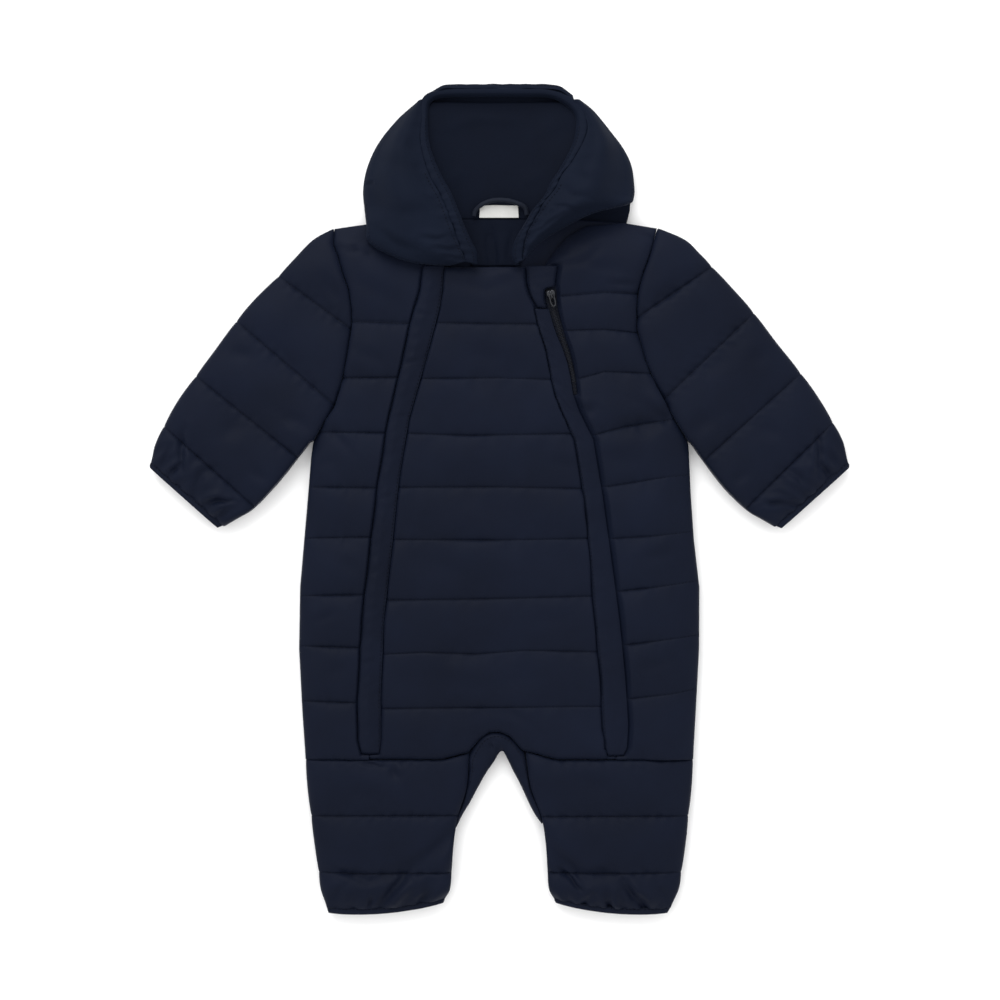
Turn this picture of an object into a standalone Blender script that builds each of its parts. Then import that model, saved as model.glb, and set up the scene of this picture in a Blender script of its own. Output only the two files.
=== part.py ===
"""Quilted baby snowsuit with a hood, laid flat on a table with its front up.

Lengths in the tables are millimetres. +Z is up from the table, +Y runs to the hood and +X to
the side of the zip whose puller shows. Left and right are as the laid suit is seen from above.
"""

import bmesh
import bpy
import math

MM = 0.001

# Layers of the laid suit, measured up from the table.
BACK_TOP = 8.0          # the padded back lies from the table to here
SEAM_GAP = 0.3          # clearance between two sewn pieces, or between a piece and what is on it
STITCH_TOP = 15.0       # the front along a quilting seam
PUFF_RISE = 5.5         # how much a channel's middle stands above its seams
EDGE_THIN = 2.6         # each layer's thickness at the outline
EDGE_ROLL = 30.0        # width over which a layer rolls down to the outline
TABLE_ROLL = 16.0       # width over which the underside lifts off the table
ZIP_BED = 14.0          # the front under the zips, where it is not puffed
ZIP_BED_HALF = 14.0     # half the width of that strip
HOOD_BACK_TOP = 8.0     # the back of the hood, from the table
HOOD_WALL = 7.0         # the hood's padded sides
HOOD_EDGE = 3.0         # the same, where they end in a seam
LINING = 2.0            # the lining cloth with its facing
BINDING = 2.5           # the elastic binding of cuffs and hems

SHELL_NAVY = (0.012, 0.016, 0.030, 1.0)
HOOD_NAVY = (0.014, 0.018, 0.032, 1.0)
LINING_NAVY = (0.009, 0.011, 0.021, 1.0)
LABEL_WHITE = (0.80, 0.80, 0.78, 1.0)
ZIP_BLACK = (0.010, 0.011, 0.016, 1.0)
METAL_GREY = (0.30, 0.31, 0.33, 1.0)


def table(columns, *rows):
    """Rows of millimetres under named columns."""
    names = columns.split()
    return [dict(zip(names, row)) for row in rows]


# The suit's outline without the hood, from the left of the neck round by both hems.
OUTLINE = table(
    "x y",
    (-62, 225), (-100, 222), (-133, 217), (-148, 208), (-168, 188), (-186, 169), (-204, 150),
    (-219, 131), (-233, 112), (-254, 83), (-266, 64), (-275, 44), (-280.4, 25.2),
    (-226, -22.8), (-205, -13), (-184, 6), (-168, 25), (-153, 44), (-150, 46), (-151, 34),
    (-153, 6), (-156, -32), (-159.6, -70), (-160.4, -120), (-158, -167), (-155, -208),
    (-151, -253), (-146, -292), (-141, -320), (-137, -331.5), (-72, -331.5), (-43, -323),
    (-38.8, -311), (-36, -275), (-28, -253), (-14, -224), (2.4, -201), (14, -224),
    (28.4, -253), (34.8, -272), (39, -311), (43, -323), (75, -331.5), (135, -331.5),
    (141, -320), (148, -280), (152, -245), (155, -208), (157.5, -167), (160, -128),
    (160.6, -84), (156, -50), (154, -13), (152, 20), (152, 44), (160, 35), (175, 16),
    (192, -3), (204, -13), (226, -23.2), (280.4, 25.2), (275, 44), (266, 64), (254, 83),
    (232, 112), (217, 131), (203, 150), (185, 169), (168, 188), (148, 208), (130, 217),
    (100, 222), (60, 225),
)

# Side edges of the body: the armhole seams down to the armpits, then the side seams.
BODY_EDGE = table(
    "y left right",
    (224, -128, 124), (217, -132, 126), (203, -132.5, 122), (195, -129, 119.5),
    (180, -125, 114), (167, -120, 111), (152, -118, 109.2), (137, -118, 109.5),
    (112, -122, 116), (89, -127, 126), (74, -131.5, 134), (62, -140, 141), (46, -149, 151),
    (34, -150.8, 151.8), (6, -153, 153), (-32, -156.3, 155.6), (-70, -159.6, 160),
    (-120, -160.4, 159.8), (-167, -158, 157.3), (-208, -155.2, 155),
)

# Middle of each zip, where a side panel meets the centre panel.
ZIP_LINE = table(
    "y left right",
    (190, -53, 35), (182, -53, 35), (168, -54, 36), (153, -58, 38), (138, -62, 42),
    (121, -66, 46), (108, -69, 49), (96, -72, 51), (84, -75.5, 54), (64, -80, 60),
    (48, -84, 66), (15, -89, 72), (-32, -94.5, 79), (-78, -99.5, 84), (-120, -103, 88.5),
    (-160, -104, 92), (-208, -104, 93),
)

# Cross seams of the quilting, top to bottom, with the suit's ends as first and last rows.
CROSS_SEAMS = table(
    "centre left_outer right_outer",
    (140, 141, 134), (96.5, 97, 101), (52, 54, 64), (9, 10, 19), (-32, -31, -26),
    (-78.5, -76, -66), (-122.5, -117, -110), (-166.5, -162, -153),
)
LEG_SEAM_Y = -208.0
ARMPIT_Y = 46.0
NECK_Y = 185.5

# Top edge of the front: the shoulders and, under the hood, the neckline.
FRONT_TOP_EDGE = table(
    "x y",
    (-133, 216.6), (-100, 221.4), (-84, 219), (-72, 211), (-62, 198), (-53, 185.5),
    (35, 185.5), (44, 198), (56, 211), (70, 219), (100, 221.4), (127, 217),
)
BACK_TOP_EDGE = table(
    "x y", (-133, 216.6), (-100, 221.6), (-62, 224.3), (60, 224.3), (100, 221.6), (127, 217),
)

# Top of the crotch arch, where the gusset joins the body.
ARCH = table(
    "x y",
    (-46, -208), (-25, -202.6), (-15.5, -191.6), (-8, -186.4), (0, -186), (8, -189),
    (18.4, -200.6), (46, -208),
)

# Sleeve sections across the arm: a on the folded outer edge, b on the armhole or underarm seam.
SLEEVE_LEFT = table(
    "ax ay bx by puff",
    (-135.5, 215.5, -134.4, 206, 0.2), (-149, 207.3, -129.6, 195, 0.8),
    (-163, 193, -121.6, 170, 1), (-177, 178.5, -118.8, 136, 0), (-195.6, 159.6, -123, 110, 1),
    (-210.5, 142.5, -132, 75, 0), (-227, 119.5, -149.4, 49.5, 1), (-243, 98.5, -161.5, 33.5, 0),
    (-257, 78.5, -178, 13, 1), (-268.5, 58.5, -196, -6, 0), (-276, 41, -211.5, -15.8, 0.9),
    (-278.6, 31.5, -219.5, -19.8, 0.2),
)
SLEEVE_RIGHT = table(
    "ax ay bx by puff",
    (132, 216.2, 126.8, 206, 0.2), (148, 207.6, 120.6, 195, 0.8), (160, 196.2, 113.4, 172, 1),
    (170, 186.2, 109.8, 145, 0), (187, 167.4, 114, 118, 1), (203.5, 149.2, 130.6, 80, 0),
    (221, 125.4, 150.4, 49.8, 1), (241, 101, 163.4, 31, 0), (255, 80.8, 180, 9.5, 1),
    (266.8, 61.5, 197, -7.3, 0), (275.4, 43.5, 211.5, -16.3, 0.9),
    (278.6, 31.5, 219.5, -20.2, 0.2),
)
CUFF_LEFT = table(
    "ax ay bx by", (-278.8, 30.6, -220.4, -20.3), (-280.2, 28, -223.5, -21.6),
    (-280.2, 25.6, -226, -22.6),
)
CUFF_RIGHT = table(
    "ax ay bx by", (278.8, 30.6, 220.4, -20.7), (280.2, 28, 223.5, -22),
    (280.2, 25.6, 226, -23),
)

# Leg sections: a on the side edge, b on the inner leg seam; bow is the dip of the middle.
LEG_LEFT = table(
    "ax ay bx by puff bow",
    (-155, -208.3, -24.6, -208.3, 0, 0), (-153, -231, -27.6, -231, 1, 0),
    (-150.6, -253, -33.4, -252.5, 0, 0), (-147.5, -275, -37, -275, 1, 0),
    (-144.5, -298, -38.4, -298, 0, 1), (-142, -314, -39.8, -312, 0.9, 2),
    (-138.8, -325.4, -43.4, -318, 0.2, 4),
)
LEG_RIGHT = table(
    "ax ay bx by puff bow",
    (154.8, -208.3, 21.4, -208.3, 0, 0), (153, -231, 25.6, -231, 1, 0),
    (151, -253, 33.8, -253.5, 0, 0), (148.4, -275, 37, -275, 1, 0),
    (145.4, -298, 38.6, -298, 0, 1), (142.2, -314, 39.8, -312, 0.9, 2),
    (137.6, -325.4, 43.4, -318, 0.2, 4),
)
HEM_LEFT = table(
    "ax ay bx by bow", (-138.6, -325.8, -43.6, -318.5, 4), (-137.8, -328.6, -44, -321, 4),
    (-137, -331, -45, -323, 4),
)
HEM_RIGHT = table(
    "ax ay bx by bow", (137.4, -325.8, 43.6, -318.5, 4), (136, -328.6, 44, -321, 4),
    (134.6, -331, 45, -323, 4),
)

# Gusset sections round the crotch: s on its seam, e on its folded edge.
GUSSET = table(
    "sx sy ex ey",
    (-32.6, -252, -29.6, -252.5), (-29.2, -243.6, -23.8, -243), (-26.2, -231, -17.4, -231),
    (-24.2, -217, -10.6, -219), (-23.6, -206.4, -5, -211), (-15.6, -192.8, -0.6, -203.4),
    (-8, -187.4, 1.4, -201.8), (0.4, -187, 3, -202), (8, -190.2, 5.4, -206),
    (17.4, -201, 11, -217.6), (20.8, -210, 15, -225), (22.6, -219, 18.6, -232.4),
    (25, -231.6, 23.6, -243.4), (31, -247, 28, -251.8),
)

# Back of the hood, flat on the table, and its front rim, which rolls up over the top.
HOOD_BACK = table(
    "y left right low inner_y high",
    (224.6, -62, 60, 0, 224.6, 8), (227.5, -92, 90, 0, 227.5, 8), (232, -103, 102, 0, 232, 8),
    (246, -107, 105.4, 0, 246, 8), (265, -104, 103.6, 0, 265, 8), (284, -95.4, 96, 0, 284, 8),
    (303, -80.6, 80, 0, 303, 8), (315, -70, 66, 0, 315, 8), (324, -58, 55, 0.6, 321.5, 8),
)
HOOD_RIM = table(
    "y left right low inner_y high",
    (329.4, -50, 47, 3, 324.6, 8.4), (332, -43, 41, 7.4, 326.6, 9.6),
    (332.2, -42, 40, 12.4, 327.4, 11.6), (331.4, -44, 42, 16.2, 327.6, 13),
    (329.4, -48, 46, 18.2, 327.6, 14.2), (327.8, -50, 49, 18.8, 327.3, 16.6),
)

# Hood sides: i on the casing seam, o on the outer edge, z heights there, swell in between.
HOOD_LEFT = table(
    "ix iy iz ox oy oz swell",
    (-61.2, 319, 19, -65, 318.6, 12, 0.5), (-62.4, 302, 24, -82, 303.6, 11.4, 4),
    (-63.2, 286, 28, -97.2, 284.4, 11.4, 9), (-60, 270, 31, -106, 265.2, 11.4, 12),
    (-54.6, 254.8, 33, -109.2, 247.6, 11.4, 13), (-46, 239.6, 34, -108, 232, 12, 14),
    (-41.2, 228.4, 35, -106, 218, 24, 10), (-37.2, 217.2, 35.4, -103.6, 204, 25.5, 8),
    (-34, 207.6, 35, -80, 191.6, 26, 7), (-30.2, 197.2, 33, -60, 187.4, 26, 5),
    (-26.2, 189, 30.5, -40, 186.2, 26, 2),
)
HOOD_RIGHT = table(
    "ix iy iz ox oy oz swell",
    (58.8, 318.4, 19.5, 61.6, 317.6, 12, 0.5), (67, 310.4, 21, 71, 311.4, 11.4, 1),
    (70, 297, 24.5, 89.2, 294, 11.4, 5), (67, 285, 28, 98.8, 281.2, 11.4, 9),
    (58, 268.5, 31, 105.2, 268.4, 11.4, 12), (49.5, 257, 33, 107.6, 254.8, 11.4, 13),
    (44, 246, 34, 107.6, 242, 13, 14), (35, 234.5, 35, 102, 235, 20, 11),
    (29.4, 224.5, 35.4, 74, 227.4, 25.5, 8), (22, 210.5, 35, 47, 213.8, 26, 6),
    (19, 197.4, 33, 30, 202, 26.5, 3), (18.6, 190, 30.5, 22.6, 193.4, 27, 1),
)

# Elastic casing round the face opening: o on the hood's sides, i on the opening.
CASING = table(
    "ox oy ix iy z",
    (-25.6, 188.4, -17.4, 187, 30), (-29.6, 197, -17.8, 196, 32.6), (-33.4, 207.4, -22, 204.6, 34.6),
    (-36.6, 217, -27, 215.4, 35), (-40.6, 228.2, -32.4, 229, 34.6), (-45.4, 239.4, -38, 242.8, 33.6),
    (-54, 254.6, -46, 257.2, 32.6), (-59.4, 269.8, -51.6, 270, 30.6), (-62.6, 286, -56, 285, 27.6),
    (-61.8, 302, -57, 303.6, 23.8), (-60.4, 318.6, -55.4, 316, 20), (-49, 326.6, -46, 321, 19),
    (-20, 326.9, -20, 321.6, 19), (15, 326.9, 15, 321.6, 19), (41, 326.5, 39, 321, 19),
    (56.6, 319.4, 51.6, 315.6, 19.6), (66, 309.8, 60, 306.6, 21), (69.2, 296.6, 60.4, 294.6, 24.2),
    (66.2, 284.6, 57.2, 281.2, 27.6), (57.2, 268, 48.4, 263.6, 30.6), (48.7, 256.6, 40.4, 251.6, 32.6),
    (43.2, 245.6, 35.6, 241.2, 33.6), (34.2, 234, 26, 229.2, 34.6), (28.6, 224, 20.4, 219.6, 35),
    (21.2, 210.2, 12.4, 206, 34.6), (18.2, 197.2, 9.4, 194.6, 32.6), (17.8, 189.6, 12, 187, 30),
)

# Lining seen in the face opening, from the neck seam to the top.
HOOD_LINING = table(
    "y left right rise",
    (224.6, -40, 34, 3), (232, -44, 38, 4), (246, -52, 46, 6), (262, -60, 56, 8),
    (278, -65, 64, 9), (294, -66, 69, 8), (308, -62, 65, 5), (318, -54, 52, 2),
)
BACK_LINING = table(
    "y left right", (224.2, -40, 34), (214, -38, 32), (204, -30, 24), (195, -25, 18),
    (187.2, -22, 15),
)
HANGER_LOOP = table(
    "x y z", (-20.5, 226.6, 13.2), (-19, 231.4, 13.8), (-13, 236.2, 15.4), (-5, 238.8, 16.2),
    (4, 239, 16.2), (13, 237, 15.6), (20, 233.6, 14.2), (22, 227.4, 13.2),
)
LOOP_RADIUS = 1.8
LABEL_WIDTH = 32.0
LABEL_HEIGHT = 10.4
LABEL_THICK = 0.9
LABEL_X = -0.4
LABEL_Y = 230.4

# Flaps over the zips: left and right edge of each and the height of its crest above the bed.
FLAP_LEFT = table(
    "y left right rise",
    (181, -61, -45.6, 3), (166, -63, -46.4, 4), (152, -67.6, -48.8, 4.5), (136, -71.6, -53, 4.5),
    (120, -75, -57, 4.5), (97, -80, -63.6, 4.5), (64, -88, -73, 4.5), (15, -96, -81, 4.8),
    (-48, -103.6, -87.6, 5), (-96, -109, -93, 5), (-160, -112.4, -95.6, 5),
    (-192, -112.2, -95.4, 5), (-203, -109.6, -97, 3.6),
)
FLAP_RIGHT = table(
    "y left right rise",
    (152, 28.4, 38.6, 3.6), (140, 31, 42, 4), (131, 33.6, 45, 4.2), (121, 36.8, 49.4, 4.2),
    (109, 39.4, 53.4, 4.2), (97, 41.8, 56, 4.2), (84, 44.4, 58, 4.2), (70, 50, 63, 4.4),
    (48, 60.4, 74, 4.6), (0, 68.4, 82, 4.8), (-48, 73, 88.6, 5), (-96, 76.6, 95, 5),
    (-142, 81.2, 99.6, 5), (-180, 82.8, 102, 5), (-198, 84.6, 101, 4), (-204.5, 87, 98, 2.6),
)
ZIP_COVER = table(
    "y left right rise",
    (184, 22.2, 45, 3.4), (176, 22.6, 44, 3.6), (169.2, 23.6, 43.4, 3.6),
    (168.8, 23.8, 35.4, 3.6), (162, 26, 35, 3.4), (157, 29, 35.4, 3), (153, 31, 36.6, 2.4),
)
ZIP_TAPE = table(
    "y left right",
    (168, 36.6, 45.4), (158, 37.4, 45.8), (150, 39.8, 47), (140, 43, 49.6), (131, 46, 52),
    (121, 50.4, 55.4), (109, 54.4, 58.6), (97, 57, 60.8), (84, 59, 62),
)
TAPE_THICK = 1.4
SLIDER_AT = (41.2, 163.2)
SLIDER_SIZE = (7.0, 7.6, 2.8)
PULL_LENGTH = 9.0
PULL_WIDTH = 3.6
PULL_THICK = 1.2
PULL_PIN = 0.7          # radius of the bridge that the puller swings on
ZIP_LEAN = math.radians(14)


def along(rows, key, value, column):
    """The column's value at a place between two rows, which are sorted by key either way."""
    rising = rows[0][key] < rows[-1][key]
    ordered = rows if rising else rows[::-1]
    if value <= ordered[0][key]:
        return ordered[0][column]
    for low, high in zip(ordered, ordered[1:]):
        if value <= high[key]:
            part = (value - low[key]) / (high[key] - low[key])
            return low[column] + part * (high[column] - low[column])
    return ordered[-1][column]


def filled_in(rows, steps):
    """The same table with steps - 1 rows added between each two."""
    out = []
    for low, high in zip(rows, rows[1:]):
        for k in range(steps):
            part = k / steps
            out.append({name: low[name] + part * (high[name] - low[name]) for name in low})
    out.append(dict(rows[-1]))
    return out


def depth_inside(x, y):
    """Distance from the suit's outline."""
    best = 1e9
    for a, b in zip(OUTLINE, OUTLINE[1:] + OUTLINE[:1]):
        dx = b["x"] - a["x"]
        dy = b["y"] - a["y"]
        part = ((x - a["x"]) * dx + (y - a["y"]) * dy) / (dx * dx + dy * dy)
        part = min(1.0, max(0.0, part))
        best = min(best, math.hypot(x - a["x"] - part * dx, y - a["y"] - part * dy))
    return best


def roll(depth, width):
    """0 at the outline, 1 from the given width inwards, round in between."""
    part = min(1.0, max(0.0, depth / width))
    return math.sqrt(1.0 - (1.0 - part) ** 2)


def underside(depth):
    return (BACK_TOP - EDGE_THIN) * (1.0 - roll(depth, TABLE_ROLL))


def front_top(depth, puff):
    """Height of the front: low at the outline, higher on the seams, highest between them."""
    full = STITCH_TOP + PUFF_RISE * math.sin(0.5 * math.pi * puff)
    low = BACK_TOP + SEAM_GAP + EDGE_THIN
    return low + (full - low) * roll(depth, EDGE_ROLL)


def finish_piece(name, mesh, colour, rough, metallic=0.0):
    """Gives the piece its material and its place in the suit's collection."""
    piece = bpy.data.objects.new(name, mesh)
    SUIT.objects.link(piece)
    material = bpy.data.materials.new(name)
    material.use_nodes = True
    shader = material.node_tree.nodes["Principled BSDF"]
    shader.inputs["Base Color"].default_value = colour
    shader.inputs["Roughness"].default_value = rough
    shader.inputs["Metallic"].default_value = metallic
    mesh.materials.append(material)
    return piece


def wall(name, outer, inner, colour, rough=0.65):
    """A cloth wall lofted between two grids of points that match row by row."""
    shape = bmesh.new()
    rows = len(outer)
    columns = len(outer[0])
    faces = []
    grids = []
    for grid in (outer, inner):
        grids.append([[shape.verts.new([v * MM for v in p]) for p in row] for row in grid])
    for r in range(rows - 1):
        for c in range(columns - 1):
            a, b, d, e = ((r, c), (r, c + 1), (r + 1, c + 1), (r + 1, c))
            faces.append([grids[0][i][j] for i, j in (a, b, d, e)])
            faces.append([grids[1][i][j] for i, j in (e, d, b, a)])
    rim = [(r, 0) for r in range(rows)]
    rim += [(rows - 1, c) for c in range(1, columns)]
    rim += [(r, columns - 1) for r in range(rows - 2, -1, -1)]
    rim += [(0, c) for c in range(columns - 2, 0, -1)]
    for (r, c), (s, d) in zip(rim, rim[1:] + rim[:1]):
        faces.append([grids[0][r][c], grids[0][s][d], grids[1][s][d], grids[1][r][c]])
    for face in faces:
        shape.faces.new(face)
    bmesh.ops.recalc_face_normals(shape, faces=shape.faces)
    mesh = bpy.data.meshes.new(name)
    shape.to_mesh(mesh)
    shape.free()
    return finish_piece(name, mesh, colour, rough)


def ring_wall(name, outer, inner, colour, rough=0.65):
    """A tube of cloth between outer and inner rings, open at both ends."""
    shape = bmesh.new()
    grids = []
    for grid in (outer, inner):
        grids.append([[shape.verts.new([v * MM for v in p]) for p in row] for row in grid])
    rows = len(outer)
    count = len(outer[0])
    for r in range(rows - 1):
        for c in range(count):
            d = (c + 1) % count
            shape.faces.new([grids[0][r][c], grids[0][r][d], grids[0][r + 1][d], grids[0][r + 1][c]])
            shape.faces.new([grids[1][r][d], grids[1][r][c], grids[1][r + 1][c], grids[1][r + 1][d]])
    for r in (0, rows - 1):
        for c in range(count):
            d = (c + 1) % count
            shape.faces.new([grids[0][r][c], grids[0][r][d], grids[1][r][d], grids[1][r][c]])
    bmesh.ops.recalc_face_normals(shape, faces=shape.faces)
    mesh = bpy.data.meshes.new(name)
    shape.to_mesh(mesh)
    shape.free()
    return finish_piece(name, mesh, colour, rough)


def body_panel(name, seam_left, seam_right, left_of, right_of, top, bottom, columns):
    """A quilted front panel with its rows along the cross seams.

    columns are shares of the width between the strips of the zip beds, which are flat.
    """
    zip_on_left = seam_left == "centre"
    zip_on_right = seam_right == "centre"
    lines = [top] + [
        (lambda part, s=seam: s[seam_left] + part * (s[seam_right] - s[seam_left]))
        for seam in CROSS_SEAMS
    ] + [bottom]
    places = [("open", part) for part in columns]
    places = [("left", 0.0)] * zip_on_left + places + [("right", 0.0)] * zip_on_right
    outer = []
    inner = []
    for k, (above, below) in enumerate(zip(lines, lines[1:])):
        last = k == len(lines) - 2
        steps = (0.0, 0.3, 0.7) if k > 2 else (0.0, 0.25, 0.5, 0.75)
        steps = (0.0, 0.12, 0.3, 0.5, 0.7, 0.86) if k == 0 else steps
        for step in steps + ((1.0,) if last else ()):
            upper = []
            lower = []
            for where, part in places:
                share = {"left": 0.0, "right": 1.0, "open": part}[where]
                y = above(share) + step * (below(share) - above(share))
                left = left_of(y)
                right = right_of(y)
                open_left = left + ZIP_BED_HALF * zip_on_left
                open_right = right - ZIP_BED_HALF * zip_on_right
                x = {"left": left, "right": right}.get(
                    where, open_left + part * (open_right - open_left)
                )
                if where != "open":
                    flat = True
                else:
                    flat = (part == 0.0 and zip_on_left) or (part == 1.0 and zip_on_right)
                high = front_top(depth_inside(x, y), math.sin(math.pi * step))
                upper.append((x, y, min(high, ZIP_BED) if flat else high))
                lower.append((x, y, BACK_TOP + SEAM_GAP))
            outer.append(upper)
            inner.append(lower)
    return wall(name, outer, inner, SHELL_NAVY)


def folded_panel(name, rows, seam=None):
    """A sleeve or leg: one quilted piece folded on its a edge, with both b edges at the seam."""
    outer = []
    inner = []
    for row in filled_in(rows, 2):
        start = row["bx"]
        if seam and row["by"] > ARMPIT_Y:
            start = seam(row["by"])
        bow = row.get("bow", 0.0)

        def across(part):
            x = start + part * (row["ax"] - start)
            y = row["by"] + part * (row["ay"] - row["by"]) - 4.0 * bow * part * (1 - part)
            return x, y

        high = []
        low = []
        high_in = []
        low_in = []
        for part in (0, 0.35, 0.76, 0.94):
            x, y = across(part)
            depth = depth_inside(x, y)
            high.append((x, y, front_top(depth, row["puff"])))
            low.append((x, y, underside(depth)))
            x, y = across(min(part, 0.92))
            high_in.append((x, y, BACK_TOP + SEAM_GAP))
            low_in.append((x, y, BACK_TOP))
        x, y = across(0.94)
        outer.append(high + [(row["ax"], row["ay"], BACK_TOP)] + low[::-1])
        inner.append(high_in + [(x, y, BACK_TOP + SEAM_GAP / 2)] + low_in[::-1])
    return wall(name, outer, inner, SHELL_NAVY)


def elastic_end(name, rows):
    """The binding of a cuff or hem: a flattened ring of elastic tape."""
    outer = []
    inner = []
    parts = (0, 0.06, 0.25, 0.5, 0.75, 0.94)
    for row in rows:
        bow = row.get("bow", 0.0)
        high = []
        low = []
        high_in = []
        low_in = []
        for part in parts + (1.0,):
            swell = roll(min(part, 1 - part) * 75, 22)
            x = row["bx"] + part * (row["ax"] - row["bx"])
            y = row["by"] + part * (row["ay"] - row["by"]) - 4.0 * bow * part * (1 - part)
            high.append((x, y, BACK_TOP + 1.2 + 4.0 * swell))
            low.append((x, y, BACK_TOP - 1.2 - 4.0 * swell))
            inset = 0.05 + 0.9 * part
            x = row["bx"] + inset * (row["ax"] - row["bx"])
            y = row["by"] + inset * (row["ay"] - row["by"]) - 4.0 * bow * inset * (1 - inset)
            high_in.append((x, y, BACK_TOP + 0.3 + 2.2 * swell))
            low_in.append((x, y, BACK_TOP - 0.3 - 2.2 * swell))
        outer.append(high + low[::-1])
        inner.append(high_in + low_in[::-1])
    return ring_wall(name, outer, inner, SHELL_NAVY, 0.7)


def strip(name, rows, base, colour, rough=0.65, tilt=(0.25, 0.9, 1.0, 0.7, 0.2)):
    """A narrow band on the front, from its base plane up to a rounded crest."""
    outer = []
    inner = []
    for row in rows:
        upper = []
        lower = []
        for k, share in enumerate(tilt):
            x = row["left"] + k / (len(tilt) - 1) * (row["right"] - row["left"])
            upper.append((x, row["y"], base + 1.2 + share * row["rise"]))
            lower.append((x, row["y"], base))
        outer.append(upper)
        inner.append(lower)
    return wall(name, outer, inner, colour, rough)


def clear_scene():
    for thing in list(bpy.data.objects):
        bpy.data.objects.remove(thing)


clear_scene()
SUIT = bpy.data.collections.new("baby_snowsuit")
bpy.context.scene.collection.children.link(SUIT)

# ---- Body ----------------------------------------------------------------------------------


def left_edge(y):
    return along(BODY_EDGE, "y", y, "left")


def right_edge(y):
    return along(BODY_EDGE, "y", y, "right")


def zip_left(y):
    return along(ZIP_LINE, "y", y, "left")


def zip_right(y):
    return along(ZIP_LINE, "y", y, "right")


def arch_top(x):
    return along(ARCH, "x", x, "y") + SEAM_GAP


HALF = SEAM_GAP / 2
CENTRE_LEFT = zip_left(LEG_SEAM_Y) + HALF
CENTRE_RIGHT = zip_right(LEG_SEAM_Y) - HALF
open_from = CENTRE_LEFT + ZIP_BED_HALF
open_width = CENTRE_RIGHT - ZIP_BED_HALF - open_from
arch_columns = [(row["x"] - open_from) / open_width for row in ARCH]


def centre_bottom(part):
    return arch_top(open_from + part * open_width)


body_panel(
    "front_centre", "centre", "centre", lambda y: zip_left(y) + HALF,
    lambda y: zip_right(y) - HALF, lambda part: NECK_Y, centre_bottom,
    [0.0, 0.1] + arch_columns + [0.9, 1.0],
)
body_panel(
    "front_side_left", "left_outer", "centre", left_edge, lambda y: zip_left(y) - HALF,
    lambda part: along(FRONT_TOP_EDGE, "x", -133 + part * 80, "y"),
    lambda part: LEG_SEAM_Y, (0, 0.14, 0.4, 0.75, 1),
)
body_panel(
    "front_side_right", "centre", "right_outer", lambda y: zip_right(y) + HALF, right_edge,
    lambda part: along(FRONT_TOP_EDGE, "x", 35 + part * 92, "y"),
    lambda part: LEG_SEAM_Y, (0, 0.25, 0.6, 0.86, 1),
)

# The back lies flat on the table and matches the front's outline.
back_rows = (None, 203, 195, 180, 167, 152, 137, 112, 89, 74, 62, 46, 6, -50, -120)
back_columns = [0.0, 0.04, 0.12]
back_columns += [(row["x"] - left_edge(LEG_SEAM_Y)) / 310.2 for row in ARCH]
back_columns += [0.88, 0.96, 1.0]
outer = []
inner = []
for y_row in back_rows + (LEG_SEAM_Y,):
    upper = []
    lower = []
    for part in back_columns:
        level = 217 if y_row is None else y_row
        left = left_edge(level)
        x = left + part * (right_edge(level) - left)
        y = level
        if y_row is None:
            y = along(BACK_TOP_EDGE, "x", x, "y")
        elif y_row == LEG_SEAM_Y:
            y = arch_top(x)
        upper.append((x, y, BACK_TOP))
        lower.append((x, y, underside(depth_inside(x, y))))
    outer.append(upper)
    inner.append(lower)
wall("back_body", outer, inner, SHELL_NAVY)

# ---- Sleeves and legs ----------------------------------------------------------------------

SLEEVE_CLEAR = 1.0
folded_panel("sleeve_left", SLEEVE_LEFT, lambda y: left_edge(y) - SLEEVE_CLEAR)
folded_panel("sleeve_right", SLEEVE_RIGHT, lambda y: right_edge(y) + SLEEVE_CLEAR)
elastic_end("cuff_binding_left", CUFF_LEFT)
elastic_end("cuff_binding_right", CUFF_RIGHT)
folded_panel("leg_left", LEG_LEFT)
folded_panel("leg_right", LEG_RIGHT)
elastic_end("hem_binding_left", HEM_LEFT)
elastic_end("hem_binding_right", HEM_RIGHT)

outer = []
inner = []
for row in GUSSET:
    high = []
    low = []
    for part in (0, 0.35, 0.7):
        x = row["sx"] + part * (row["ex"] - row["sx"])
        y = row["sy"] + part * (row["ey"] - row["sy"])
        lift = roll((1 - part) * 12, 14)
        high.append((x, y, BACK_TOP + 3 + 4.4 * lift))
        low.append((x, y, BACK_TOP - 3 - 3.6 * lift))
    edge = (row["ex"], row["ey"], BACK_TOP)
    near = 0.72
    slit = (row["sx"] + near * (row["ex"] - row["sx"]), row["sy"] + near * (row["ey"] - row["sy"]))
    start = [(p[0], p[1]) for p in high]
    outer.append(high + [edge] + low[::-1])
    inner.append(
        [(x, y, BACK_TOP + 0.3) for x, y in start]
        + [(slit[0], slit[1], BACK_TOP)]
        + [(x, y, BACK_TOP - 0.3) for x, y in start[::-1]]
    )
wall("crotch_gusset", outer, inner, SHELL_NAVY)

# ---- Hood ----------------------------------------------------------------------------------

outer = []
inner = []
for row in HOOD_BACK + HOOD_RIM:
    upper = []
    lower = []
    for part in (0, 0.07, 0.2, 0.4, 0.6, 0.8, 0.93, 1):
        width = row["right"] - row["left"]
        x = row["left"] + part * width
        lift = 0.0
        if row in HOOD_BACK:
            lift = 4.0 * (1.0 - roll(min(part, 1 - part) * width, 14))
        lower.append((x, row["y"], row["low"] + lift))
        upper.append((x, row["inner_y"], row["high"]))
    outer.append(upper)
    inner.append(lower)
wall("hood_back", outer, inner, HOOD_NAVY)


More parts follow.
